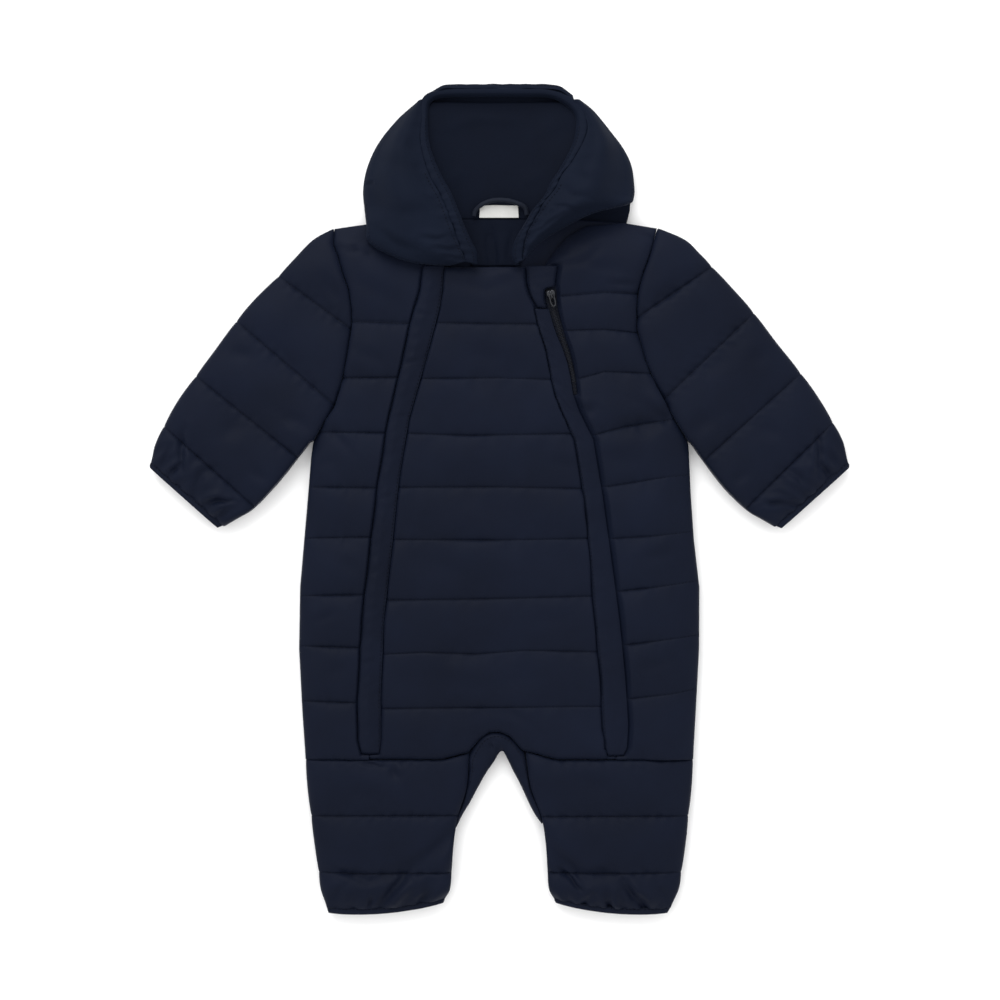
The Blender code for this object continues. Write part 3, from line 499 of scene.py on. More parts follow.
CENTRE_CREASES = (
    (0.9, 2.2, 0.5, ((-82, 66), (-73, 66.8))), (0.9, 5, 0.4, ((-40, 176), (-10, 168), (14, 176))),
    (0.7, 6, 0.3, ((-30, 118), (10, 112))), (0.8, 7, 0.4, ((-52, -142), (-10, -150), (30, -143))),
    (0.9, 5, 0.4, ((-30, -178), (-12, -170), (10, -170), (30, -182))),
    (0.6, 5, 0.4, ((40, 30), (62, 26))), (0.7, 7, 0.3, ((-70, -50), (-30, -58))),
    (0.6, 6, 0.3, ((20, -100), (60, -96))), (0.5, 1.6, 0.2, ((-22, 184.6), (-8, 182.6), (12, 184))),
)
LEFT_CREASES = (
    (5.0, 11, 0.0, ((-112, 214), (-100, 200), (-78, 190), (-52, 184))),
    (2.4, 1.5, 0.5, ((-132, 201), (-118, 200.4), (-98, 194.8))),
    (1.6, 7, 0.4, ((-116, 178), (-92, 160), (-80, 150))), (1.2, 6, 0.4, ((-112, 120), (-92, 108))),
    (1.4, 5, 0.5, ((-138, 58), (-118, 40))), (0.9, 6, 0.4, ((-128, -50), (-112, -56))),
    (1.0, 4, 0.5, ((-150, -96), (-132, -92))), (0.8, 4, 0.4, ((-148, 28), (-132, 30))),
    (0.9, 5, 0.4, ((-140, -140), (-120, -134))),
)
RIGHT_CREASES = (
    (4.0, 9, 0.0, ((110, 228), (74, 222), (46, 208), (24, 190))),
    (2.0, 1.5, 0.5, ((106, 218), (118, 210), (127, 208))),
    (1.5, 2.2, 0.4, ((88, 172), (109, 171.4))), (2.0, 3.0, 0.5, ((62, 75.6), (69, 70), (76, 72))),
    (2.6, 7, 0.5, ((96, 60), (124, 62), (146, 68))),
    (2.0, 5, 0.5, ((112, 78), (134, 66), (148, 52))),
    (1.2, 7, 0.4, ((80, 34), (110, 30))), (1.0, 4, 0.4, ((60, 196), (76, 186), (96, 184))),
    (1.2, 3, 0.5, ((46, 184), (66, 190), (84, 204))), (0.8, 5, 0.4, ((112, -46), (140, -42))),
    (1.2, 4, 0.4, ((70, 24), (74, 12))), (0.8, 5, 0.4, ((110, -134), (136, -130))),
)


def pressed_flat(high, x, y, strip_rows, gap_left, gap_right):
    """Cloth lowered to the zip bed under a flap, and rising again beyond its two edges."""
    left = np.interp(y, strip_rows[:, 0], strip_rows[:, 1]) - 0.4
    right = np.interp(y, strip_rows[:, 0], strip_rows[:, 2]) + 0.4
    free = np.where(x < left, (left - x) / gap_left, (x - right) / gap_right)
    free = np.where((x >= left) & (x <= right), 0.0, free)
    low, top = strip_rows[0, 0] - 0.5, strip_rows[-1, 0] + 0.5
    free = np.maximum(free, np.maximum((low - y) / 1.2, (y - top) / 3.0))
    return np.where(high > ZIP_BED, ZIP_BED + (high - ZIP_BED) * eased(free), high)


def front_panel(name, left_of, right_of, top, seams, bottom, creases, sides, columns, seed):
    """A quilted panel: rows of its grid follow the seams and lie closer together beside them.

    top and bottom are heights y at each share of the width. sides gives the distance from the
    outline and the distance from an armhole seam.
    """
    share = np.linspace(0.0, 1.0, columns)
    lines = [lambda x: np.interp(share, top[0], top[1])]
    lines += [(lambda x, seam=seam: on_line(x, seam)) for seam in seams]
    lines += [lambda x: np.interp(share, bottom[0], bottom[1])]
    xs = []
    ys = []
    across = []
    thickness = []
    for above, below in zip(lines, lines[1:]):
        part = graded(CHANNEL_ROWS)
        if below is lines[-1]:
            part = np.append(part, 1.0)
        for step in part:
            x = 0.5 * (left_of(0.0) + right_of(0.0)) + 0 * share
            for _ in range(4):
                y = above(x) + step * (below(x) - above(x))
                x = left_of(y) + share * (right_of(y) - left_of(y))
            xs.append(x)
            ys.append(y)
            across.append(step)
            thickness.append(above(x) - below(x))
    x = np.array(xs)
    y = np.array(ys)
    step = np.array(across)[:, None]
    size = np.abs(np.array(thickness))
    from_seam = np.minimum(step, 1 - step) * size
    outline, armhole = sides(x, y)
    puff = np.sin(math.pi * step) ** PUFF_SHAPE
    puff = puff * np.clip(size / 34, 0.45, 1.08)
    puff = 1 - (1 - puff) * np.clip(0.74 + 0.36 * ripple(x, 0.04 * y, 70, seed + 7), 0.4, 1.0)
    top_full = STITCH_TOP + PUFF_RISE * puff
    top_full += 0.9 * ripple(x, y, 62, seed) * puff
    top_full += 0.3 * ripple(x, 0.3 * y, 8.5, seed + 1) * np.exp(-((from_seam / 5.0) ** 2))
    top_full += 0.7 * ripple(x, 0.5 * y, 24, seed + 2) * np.exp(-((from_seam / 11) ** 2)) * puff
    top_full += creased(x, y, creases)
    low = BACK_TOP + SEAM_GAP + EDGE_THIN
    high = low + (top_full - low) * roll(outline, EDGE_ROLL)
    high -= SEAM_DIP * np.exp(-armhole / SEAM_REACH)
    for rows, gap_left, gap_right in (
        (FLAP_LEFT, 2.2, 2.2), (FLAP_RIGHT, 1.0, 6.0), (COVER, 4.0, 5.0), (TAPE, 4.0, 3.0)
    ):
        high = pressed_flat(high, x, y, rows, gap_left, gap_right)
    high = np.maximum(high, low - 0.2)
    upper = np.stack((x, y, high), -1)
    lower = np.stack((x, y, np.full(x.shape, BACK_TOP + SEAM_GAP)), -1)
    threads = []
    for k in range(1, len(seams) + 1):
        row = upper[CHANNEL_ROWS * k] + THREAD_LIFT
        shown = np.ones(len(row), bool)
        for rows in (FLAP_LEFT, FLAP_RIGHT, COVER, TAPE):
            inside_y = (row[:, 1] > rows[0, 0] - 1) & (row[:, 1] < rows[-1, 0] + 1)
            left = np.interp(row[:, 1], rows[:, 0], rows[:, 1]) - 1.5
            right = np.interp(row[:, 1], rows[:, 0], rows[:, 2]) + 1.5
            shown &= ~(inside_y & (row[:, 0] > left) & (row[:, 0] < right))
        if shown.sum() > 8:
            threads.append(row[shown])
    panel = sew(name + "_quilted", upper, lower, shell_cloth, name, threads)
    return panel


def zip_line(y, column):
    return np.interp(y, ZIP_LINE[:, 0], ZIP_LINE[:, column])


arch_share = [(p[0] + 104) / 197 for p in ARCH]
front_panel(
    "front_centre", lambda y: zip_line(y, 1) + 0.15, lambda y: zip_line(y, 2) - 0.15,
    ((0, 1), (NECK_Y, NECK_Y)), CENTRE_SEAMS,
    ([0.0] + arch_share + [1.0], [-207.7] + [p[1] + SEAM_GAP for p in ARCH] + [-207.7]),
    CENTRE_CREASES,
    lambda x, y: (np.full(x.shape, 60.0), 2.0 * (y - on_line(x, ARCH)) + 0.6), 120, 11,
)


def sides_from(sign, column, shoulder_line):
    """For one side of the front: distances from its outline and from its armhole seam."""

    def sides(x, y):
        side = sign * (x - body_edge(y, column))
        shoulder = on_line(x, shoulder_line) - y
        over = np.maximum(0.0, y - ARMPIT_Y)
        return np.minimum(side + 0.8 * over, shoulder), side + np.maximum(0.0, ARMPIT_Y - 6 - y)

    return sides


front_panel(
    "front_side_left", lambda y: body_edge(y, 1), lambda y: zip_line(y, 1) - 0.15,
    ([(p[0] + 133) / 80 for p in SHOULDER_LEFT], [p[1] for p in SHOULDER_LEFT]), LEFT_SEAMS,
    ((0, 1), (LEG_SEAM_Y, LEG_SEAM_Y)), LEFT_CREASES,
    sides_from(1, 1, SHOULDER_LEFT), 64, 21,
)
front_panel(
    "front_side_right", lambda y: zip_line(y, 2) + 0.15, lambda y: body_edge(y, 2),
    ([(p[0] - 35) / 92 for p in SHOULDER_RIGHT], [p[1] for p in SHOULDER_RIGHT]), RIGHT_SEAMS,
    ((0, 1), (LEG_SEAM_Y, LEG_SEAM_Y)), RIGHT_CREASES,
    sides_from(-1, 2, SHOULDER_RIGHT), 68, 31,
)

# ---- Sleeves -------------------------------------------------------------------------------
# Each sleeve is one quilted piece folded along its outer edge, set into the armhole and closed
# by a seam under the arm. Its channels run across the arm, and the cuff end is gathered.

SLEEVE_LEFT = (
    # station, then the folded outer edge x y, then the armhole or underarm seam x y
    (0.0, -132.9, 216.9, -132.6, 215), (0.3, -149, 207.3, -129.6, 195),
    (0.6, -163, 193, -121.6, 170), (1.0, -177, 178.5, -118.8, 136),
    (1.5, -195.6, 159.6, -123, 110), (2.0, -210.5, 142.5, -132, 75),
    (2.5, -227, 119.5, -149.4, 49.5), (3.0, -243, 98.5, -161.5, 33.5),
    (3.5, -257, 78.5, -178, 13), (4.0, -268.5, 58.5, -196, -6), (4.6, -276, 41, -211.5, -15.8),
    (5.0, -279.4, 29.6, -220.8, -21.4),
)
SLEEVE_RIGHT = (
    (0.0, 127, 217.2, 126.4, 215), (0.3, 148, 207.6, 120.6, 195), (0.6, 160, 196.2, 113.4, 172),
    (1.0, 170, 186.2, 109.8, 145), (1.5, 187, 167.4, 114, 118), (2.0, 203.5, 149.2, 130.6, 80),
    (2.5, 221, 125.4, 150.4, 49.8), (3.0, 241, 101, 163.4, 31), (3.5, 255, 80.8, 180, 9.5),
    (4.0, 266.8, 61.5, 197, -7.3), (4.6, 275.4, 43.5, 211.5, -16.3),
    (5.0, 279.4, 29.6, 220.8, -21.8),
)
CHANNEL_WIDTH = 42.0     # usual distance between seams on a sleeve or leg
SLEEVE_CREASES = (
    # for the left sleeve; the right one's are the same the other way round, moved a little
    (1.6, 2.6, 0.6, ((-252.4, 56), (-254, 40), (-253.2, 22))),
    (1.7, 2.0, 0.6, ((-234.8, -3), (-224, -0.5), (-211.6, -1.2))),
    (1.8, 2.2, 0.5, ((-262, 21), (-256, 28))), (1.2, 3.2, 0.6, ((-243, 8), (-238, 20), (-228, 26))),
    (1.0, 2.2, 0.5, ((-268, 30), (-262, 42))), (1.0, 2.4, 0.5, ((-228, -14), (-216, -8))),
    (1.3, 6, 0.4, ((-150, 52), (-160, 62), (-172, 66))), (0.9, 7, 0.4, ((-206, 60), (-222, 52))),
    (0.8, 8, 0.3, ((-180, 120), (-160, 100))), (0.9, 5, 0.4, ((-140, 176), (-126, 160))),
    (0.8, 5, 0.4, ((-214, 120), (-200, 112))), (1.0, 4, 0.5, ((-186, 14), (-196, 24))),
)


def resampled(rows, column, places):
    """A column of a table of rows at given stations, on a smooth curve through the rows."""
    at = np.array([row[0] for row in rows])
    value = np.array([row[column] for row in rows], float)
    slope = np.gradient(value, at)
    k = np.clip(np.searchsorted(at, places, side="right") - 1, 0, len(at) - 2)
    gap = at[k + 1] - at[k]
    t = (places - at[k]) / gap
    h00 = (1 + 2 * t) * (1 - t) ** 2
    h01 = t * t * (3 - 2 * t)
    return (
        h00 * value[k] + t * (1 - t) ** 2 * gap * slope[k]
        + h01 * value[k + 1] - t * t * (1 - t) * gap * slope[k + 1]
    )


def folded_piece(
    name, rows, creases, gather_from, clear_of, seed, columns=76, bow=None, meets_arch=False
):
    """A sleeve or leg: front and back in one piece, folded on one edge and open at both ends."""
    last = rows[-1][0]
    stations = []
    for k in range(int(math.ceil(last))):
        width = min(1.0, last - k)
        stations += list(k + width * graded(CHANNEL_ROWS))
    stations = np.array(stations + [last])
    ax, ay, bx, by = (resampled(rows, column, stations)[:, None] for column in (1, 2, 3, 4))
    if clear_of is not None:
        bx = np.where(by > ARMPIT_Y, clear_of(by), bx)
    step = (stations % 1.0)[:, None]
    puff = np.sin(math.pi * step) ** PUFF_SHAPE
    puff[-1] = 0.0
    end = (last - stations)[:, None]
    wide = np.hypot(ax - bx, ay - by)
    bulge = 1.1 * puff * eased(end / 0.5) - 0.4
    outward = np.stack(((ax - bx) / wide, (ay - by) / wide), -1)
    ax = ax + bulge * outward[..., 0]
    ay = ay + bulge * outward[..., 1]
    share = np.linspace(0.0, 1.0, columns) ** 0.85
    share = share[None, :]
    x = bx + share * (ax - bx)
    y = by + share * (ay - by)
    if bow is not None:
        y = y - 4.0 * np.interp(stations, bow[0], bow[1])[:, None] * share * (1 - share)
    if meets_arch:
        y = y + (on_line(x, ARCH) - LEG_SEAM_Y) * (1 - eased(stations / 0.5))[:, None]
    fold = (1 - share) * wide
    from_seam = np.minimum(step, 1 - step) * CHANNEL_WIDTH
    low = BACK_TOP + SEAM_GAP + EDGE_THIN
    full = STITCH_TOP + PUFF_RISE * puff + 0.8 * ripple(x, y, 55, seed) * puff
    full += 0.5 * ripple(x, y, 9, seed + 1) * np.exp(-((from_seam / 5.0) ** 2))
    full += 1.7 * creased(x, y, creases)
    gathered = np.clip(1 - end / gather_from, 0.0, 1.0)
    full += 1.7 * gathered * ripple(share * wide, 0.12 * end * 40, 11, seed + 2)
    full -= 3.0 * gathered ** 2
    high = low + (full - low) * roll(fold, EDGE_ROLL)
    seam = share * wide
    high -= SEAM_DIP * np.exp(-seam / SEAM_REACH) * roll(fold, 12)
    high = np.maximum(high, low - 0.2)
    lift = (BACK_TOP - EDGE_THIN) * (1.0 - roll(np.minimum(fold, seam + 10.0), TABLE_ROLL))
    under = lift + 1.7 * (1 - puff) * roll(fold, TABLE_ROLL)
    under += 0.3 * (1 + ripple(x, y, 9, seed + 4)) * np.exp(-((from_seam / 4.0) ** 2))
    under += 0.7 * gathered * (1 + ripple(share * wide, 0.1 * end, 10, seed + 3))
    under = np.clip(under, 0.0, BACK_TOP - 1.2)
    fold_x = ax + 0.25 * outward[..., 0]
    fold_y = ay + 0.25 * outward[..., 1]
    fold_line = np.stack((fold_x, fold_y, np.full(fold_x.shape, BACK_TOP + 0.15)), -1)
    top = np.stack((x, y, high), -1)
    bottom = np.stack((x, y, under), -1)
    rounding = []
    for up in (1.0, -1.0):
        z = BACK_TOP + 0.15 + up * 1.6
        rounding.append(np.stack((ax + 0.12 * outward[..., 0], ay + 0.12 * outward[..., 1],
                                  np.full(ax.shape, z)), -1))
    outer = np.concatenate((top, rounding[0], fold_line, rounding[1], bottom[:, ::-1]), 1)
    tucked = np.minimum(share, 0.93)
    x_in = bx + tucked * (ax - bx)
    y_in = by + tucked * (ay - by)
    mouth = np.clip(1 - end / 0.3, 0, 1) * 1.6 * roll(np.minimum(share, 1 - share) * wide, 14)
    slit_high = np.stack((x_in, y_in, BACK_TOP + 0.3 + mouth), -1)
    slit_low = np.stack((x_in, y_in, BACK_TOP + 0.0 - mouth), -1)
    middle = np.stack((x_in[:, -1:], y_in[:, -1:], np.full(ax.shape, BACK_TOP + 0.15)), -1)
    inner = np.concatenate((slit_high, middle, middle, middle, slit_low[:, ::-1]), 1)
    threads = []
    for k in range(1, int(math.ceil(last))):
        threads.append(top[26 * k, : columns - 6] + THREAD_LIFT)
        threads.append(bottom[26 * k, : columns - 6] - (0, 0, 0.05))
    piece = sew(name + "_quilted", outer, inner, shell_cloth, name, threads)
    return piece


def mirrored(creases, shift_x, shift_y):
    """The same creases on the other side of the suit, moved a little so that they differ."""
    return [
        (depth * 0.95, width * 1.05, lip, [(-x + shift_x, y + shift_y) for x, y in reversed(path)])
        for depth, width, lip, path in creases
    ]


SLEEVE_CLEAR = 0.4       # between the sleeve and the body along the armhole seam


for name, rows, creases, clear_of, seed in (
    ("sleeve_left", SLEEVE_LEFT, SLEEVE_CREASES,
     lambda y: body_edge(y, 1) - SLEEVE_CLEAR, 51),
    ("sleeve_right", SLEEVE_RIGHT, mirrored(SLEEVE_CREASES, 1.2, -2.4),
     lambda y: body_edge(y, 2) + SLEEVE_CLEAR, 61),
):
    folded_piece(name, rows, creases, 1.0, clear_of, seed)

# ---- Cuff bindings -------------------------------------------------------------------------
# A folded tape of ribbed elastic, covered in the shell cloth, is stretched round each cuff and
# sewn over the raw edge. It pulls the sleeve's end into small gathers.

BINDING_NAVY = (0.0046, 0.0070, 0.0166)
CUFF_LEFT = (
    # outer edge x y, then inner edge x y, from the sleeve to the open end
    (-278.8, 30.6, -220.4, -20.3), (-280.2, 28, -223.5, -21.6), (-280.2, 25.6, -226, -22.6),
)
CUFF_RIGHT = (
    (278.8, 30.6, 220.4, -20.7), (280.2, 28, 223.5, -22), (280.2, 25.6, 226, -23),
)
binding_cloth = cloth_material("navy_elastic_binding", BINDING_NAVY, 0.62, 0.3, 2.2)


def elastic_end(name, rows, bow, seed):
    """A flattened ring of elastic tape with fine gathers across it."""
    around = 120
    turn = np.linspace(0, 1, around, endpoint=False)
    part = np.clip(1 - np.abs(2 * turn - 1), 0.0, 1.0)      # 0 at one edge, 1 at the other
    upper = np.where(turn < 0.5, 1.0, -1.0)
    part = 0.5 - 0.5 * np.cos(math.pi * part)
    lengthwise = np.linspace(0, 1, 11)
    stations = np.linspace(0, len(rows) - 1, 11)
    table = np.array(rows, float)
    ax, ay, bx, by = (
        np.interp(stations, range(len(rows)), table[:, k])[:, None] for k in range(4)
    )
    wide = float(np.hypot(ax - bx, ay - by).mean())
    inward = np.clip(np.minimum(part, 1 - part) * wide / 20, 0, 1)
    swell = np.sqrt(np.clip(1 - (1 - inward) ** 2, 0, 1))
    x = bx + part * (ax - bx)
    y = by + part * (ay - by) - 4.0 * bow * part * (1 - part)
    ribs = ripple(part * wide + 400 * (upper < 0), 0 * part, 4.2, seed)
    crown = np.sin(math.pi * np.clip(lengthwise, 0.04, 0.96))[:, None] ** 0.5
    height = 0.9 + 4.0 * swell + (0.5 + 0.3 * ribs) * crown
    outer = np.stack((x, y, BACK_TOP + upper * height), -1)
    inset = 0.02 + 0.96 * part
    x_in = bx + inset * (ax - bx)
    y_in = by + inset * (ay - by) - 4.0 * bow * inset * (1 - inset)
    inner = np.stack((x_in, y_in, BACK_TOP + upper * (0.25 + 2.2 * swell) + 0 * x_in), -1)
    rim = [outer[2, :60] + (0, 0, 0.1), outer[2, 60:] - (0, 0, 0.1)]
    piece = sew(
        name + "_ribbed", outer, inner, binding_cloth, name, rim, ring=True
    )
    return piece


elastic_end("cuff_binding_left", CUFF_LEFT, 0.0, 71)
elastic_end("cuff_binding_right", CUFF_RIGHT, 0.0, 72)

# ---- Legs ----------------------------------------------------------------------------------
# Each leg is one quilted piece folded on its side edge and seamed inside the leg, joined to the
# body by a level seam under the zips. Its hem is drawn in, so that the last channel creases.

LEG_LEFT = (
    # station, then the folded side edge x y, then the inner leg seam x y
    (0.0, -155, -208.3, -24.2, -208.3), (0.5, -153, -231, -26.5, -231),
    (1.0, -150.6, -253, -33.0, -252.5), (1.5, -147.5, -275, -36.6, -275),
    (2.0, -144.5, -298, -38.4, -298), (2.6, -142, -314, -39.8, -312),
    (3.0, -138.6, -326.8, -43.6, -319.4),
)
LEG_RIGHT = (
    (0.0, 154.8, -208.3, 21.0, -208.3), (0.5, 153, -231, 25.3, -231),
    (1.0, 151, -253, 33.4, -253.5), (1.5, 148.4, -275, 37, -275), (2.0, 145.4, -298, 38.6, -298),
    (2.6, 142.2, -314, 39.8, -312), (3.0, 137.4, -326.8, 43.6, -319.4),
)
HEM_BOW = ((0.0, 1.5, 2.6, 3.0), (0.0, 0.0, 2.0, 4.0))
LEG_LEFT_CREASES = (
    (2.2, 6, 0.6, ((-34, -262), (-46, -276), (-60, -286), (-76, -297))),
    (2.4, 3.2, 0.7, ((-74, -300), (-84, -310), (-95, -326))),
    (1.6, 2.0, 0.5, ((-103, -318), (-105, -326))),
    (1.4, 4, 0.5, ((-130, -296), (-104, -304), (-90, -300))),
    (1.2, 1.2, 0.4, ((-112, -210), (-100, -211.5), (-90, -213.6))),
    (1.4, 3, 0.5, ((-86, -214), (-82, -222))),
    (1.2, 5, 0.4, ((-52, -300), (-60, -316))), (0.9, 6, 0.4, ((-120, -232), (-96, -238))),
    (1.3, 2.4, 0.5, ((-64, -322), (-58, -314))), (1.0, 3, 0.5, ((-132, -318), (-124, -308))),
)
LEG_RIGHT_CREASES = (
    (2.6, 3.2, 0.7, ((100, -305), (106, -316), (120, -330))),
    (2.0, 1.8, 0.5, ((49, -294.8), (57, -303), (66, -312))),
    (2.0, 1.8, 0.5, ((86, -322), (91, -330))), (2.0, 6, 0.5, ((38, -272), (52, -290), (66, -304))),
    (1.2, 5, 0.4, ((74, -300), (90, -296))), (1.0, 3, 0.5, ((132, -318), (124, -310))),
    (1.0, 6, 0.4, ((60, -226), (90, -232))), (1.3, 2.4, 0.5, ((66, -326), (74, -316))),
)

folded_piece(
    "leg_left", LEG_LEFT, LEG_LEFT_CREASES, 0.7, None, 81, 84, HEM_BOW, True
)
folded_piece(
    "leg_right", LEG_RIGHT, LEG_RIGHT_CREASES, 0.7, None, 91, 84, HEM_BOW, True
)

# ---- Hem bindings --------------------------------------------------------------------------
# The same covered elastic tape as at the cuffs, folded over the raw edge and sewn round each
# leg's open end, where it draws the hem in.

HEM_LEFT = ((-138.6, -325.8, -43.6, -318.5), (-137.8, -328.6, -44, -321), (-137, -331, -45, -323))
HEM_RIGHT = ((137.4, -325.8, 43.6, -318.5), (136, -328.6, 44, -321), (134.6, -331, 45, -323))
elastic_end("hem_binding_left", HEM_LEFT, 4.0, 73)
elastic_end("hem_binding_right", HEM_RIGHT, 4.0, 74)

# ---- Crotch gusset -------------------------------------------------------------------------
# A narrow strip of shell cloth let in round the crotch and down the inner legs. It is folded
# along its middle, so that front and back lie together at the open edge.

GUSSET = (
    # seam x y, then folded edge x y
    (-35.0, -262, -34.4, -262.4),
    (-32.6, -252, -29.6, -252.5), (-29.2, -243.6, -23.8, -243), (-26.2, -231, -17.4, -231),
    (-24.0, -217, -10.6, -219), (-24.0, -205.8, -5, -211), (-15.9, -192.4, -0.6, -203.4),
    (-8, -187.4, 1.4, -201.8), (0.4, -187, 3, -202), (8, -190.2, 5.4, -206),
    (18.0, -200.9, 11, -217.6), (20.8, -209, 15, -225), (22.6, -219, 18.6, -232.4),
    (25, -231.6, 23.6, -243.4), (31, -247, 28, -251.8), (34.4, -259, 33.6, -259.6),
)
SEAM_ALLOWANCE = 2.4     # turned into the leg
gusset_rows = [(float(k), *row) for k, row in enumerate(GUSSET)]
stations = np.linspace(0, len(GUSSET) - 1, 112)
sx, sy, ex, ey = (resampled(gusset_rows, k, stations)[:, None] for k in (1, 2, 3, 4))
part = (np.linspace(0, 0.97, 22) ** 0.9)[None, :]
x = sx + part * (ex - sx)
y = sy + part * (ey - sy)
wide = np.hypot(ex - sx, ey - sy)
plump = roll((1 - part) * wide, 9) * (0.62 + 0.38 * roll(part * wide, 5))
wrinkled = 0.45 * ripple(x, y, 9, 101) + 0.35 * ripple(x, y, 22, 102)
dent = creased(x, y, ((1.8, 1.4, 0.4, ((-8, -194), (-6, -200))),))
high = BACK_TOP + 1.2 + 6.4 * plump + wrinkled * plump + dent * plump
low = BACK_TOP - 1.0 - 5.2 * plump
edge = np.stack((ex, ey, np.full(ex.shape, BACK_TOP)), -1)
turned_x = x[:, :1] - SEAM_ALLOWANCE * (ex - sx) / wide
turned_y = y[:, :1] - SEAM_ALLOWANCE * (ey - sy) / wide
turned_up, turned_down = (
    np.stack((turned_x, turned_y, np.full(ex.shape, BACK_TOP + z)), -1) for z in (0.24, 0.06)
)
outer = np.concatenate((
    turned_up, np.stack((x, y, high), -1), edge, np.stack((x, y, low), -1)[:, ::-1], turned_down,
), 1)
tucked = np.minimum(part, 0.8)
x = sx + tucked * (ex - sx)
y = sy + tucked * (ey - sy)
slit = np.stack((x[:, -1:], y[:, -1:], np.full(ex.shape, BACK_TOP + 0.15)), -1)
inner = np.concatenate((
    turned_up - (0, 0, 0.06), np.stack((x, y, np.full(x.shape, BACK_TOP + 0.18)), -1), slit,
    np.stack((x, y, np.full(x.shape, BACK_TOP + 0.12)), -1)[:, ::-1], turned_down + (0, 0, 0.06),
), 1)
gusset = sew(
    "crotch_gusset_cloth", outer, inner, shell_cloth, "crotch_gusset",
    [outer[:, 4] + THREAD_LIFT],
)

# ---- Back of the hood ----------------------------------------------------------------------
# The hood's middle panel lies on the table and rolls up over the crown, where it ends in a
# narrow rim. It is padded shell cloth outside and smooth lining inside.

HOOD_NAVY = (0.0055, 0.0082, 0.0170)
LINING_NAVY = (0.0031, 0.0051, 0.0122)
HOOD_BACK_TOP = 8.0
HOOD_BACK = (
    # station, left and right, height of the outside, y inside, height of the inside, y outside
    (0, -101, 102, 0, 224.6, 8, 224.6), (1, -103, 103.6, 0, 227.5, 8, 227.5),
    (2, -105, 104.6, 0, 232, 8, 232), (3, -107, 105.4, 0, 246, 8, 246),
    (4, -104, 103.6, 0, 265, 8, 265), (5, -95.4, 96, 0, 284, 8, 284),
    (6, -80.6, 81, 0, 303, 8, 303), (7, -70, 70.4, 0, 315, 8, 315),
    (8, -62, 62, 0.6, 321.5, 8, 324), (9, -60.6, 60.2, 3, 324.6, 8.4, 329.4),
    (10, -60, 59, 7.4, 326.6, 9.6, 332), (11, -59.6, 58.4, 12.4, 327.4, 11.6, 332.2),
    (12, -59.6, 58.4, 16.2, 327.6, 13, 331.4), (13, -59.6, 58.6, 18.2, 327.6, 14.2, 329.4),
    (14, -59.8, 58.8, 18.8, 327.3, 16.6, 327.8),
)
hood_cloth = cloth_material("navy_hood_cloth", HOOD_NAVY, 0.66, 0.22, 4.5, 0.01, 0.03)
lining_cloth = cloth_material("navy_lining_cloth", LINING_NAVY, 0.72, 0.2, 6.0, 0.02, 0.05)

stations = np.concatenate((np.linspace(0, 7, 90)[:-1], np.linspace(7, 14, 46)))
column = {
    key: np.interp(stations, [row[0] for row in HOOD_BACK], [row[k] for row in HOOD_BACK])[:, None]
    for key, k in (("left", 1), ("right", 2), ("low", 3), ("inner_y", 4), ("high", 5), ("y", 6))
}
share = np.linspace(0, 1, 104)[None, :]
x = column["left"] + share * (column["right"] - column["left"])
side = np.minimum(share, 1 - share) * (column["right"] - column["left"])
flat = np.clip((7.5 - stations) / 1.5, 0, 1)[:, None]
corner = (on_line(x, BACK_TOP_EDGE) + 0.3 - 224.6) * np.clip(1 - stations, 0, 1)[:, None]
bent = -5.0 * np.clip((np.abs(x) - 38) / 16, 0, 1.35) ** 2 * (1 - flat)
y = column["y"] + corner + bent
on_table = 4.0 * (1 - roll(side, 14)) * flat
on_table += flat * 0.35 * (1 + ripple(x, y, 34, 111)) * roll(side, 20)
on_table -= flat * creased(x, y, (
    (1.6, 6, 0.3, ((-70, 300), (-40, 288), (-10, 300))), (1.4, 7, 0.3, ((60, 296), (30, 280))),
    (1.2, 5, 0.3, ((-90, 250), (-60, 262))), (1.3, 6, 0.3, ((84, 246), (50, 256), (20, 250))),
)) * 0.8
rim_soft = (1 - flat) * 0.45 * ripple(x, 4 * stations[:, None], 17, 112)
outer = np.stack((x, y + rim_soft, np.maximum(0.0, column["low"] + on_table + rim_soft)), -1)
rim_crease = creased(x, column["inner_y"] + 0 * x, ((0.8, 1.3, 0.5, ((-30, 326), (0, 326.4))),))
hollow = 4.0 * eased((np.abs(x) - 55) / 20) * eased((3.2 - stations[:, None]) / 1.6)
inner = np.stack((
    x, column["inner_y"] + corner + bent, column["high"] + rim_crease * (1 - flat) - hollow,
), -1)
hood_back = sew(
    "hood_back_panel", outer, inner, hood_cloth, "hood_back",
    [outer[-12] + (0, 0, 0.1)], lined=lining_cloth,
)

# ---- Hood sides ----------------------------------------------------------------------------
# Two padded sides are sewn to the back of the hood. Each swells over the cheek and ends in a
# free lower edge that rests on the shoulder, and in front in the seam of the elastic casing.

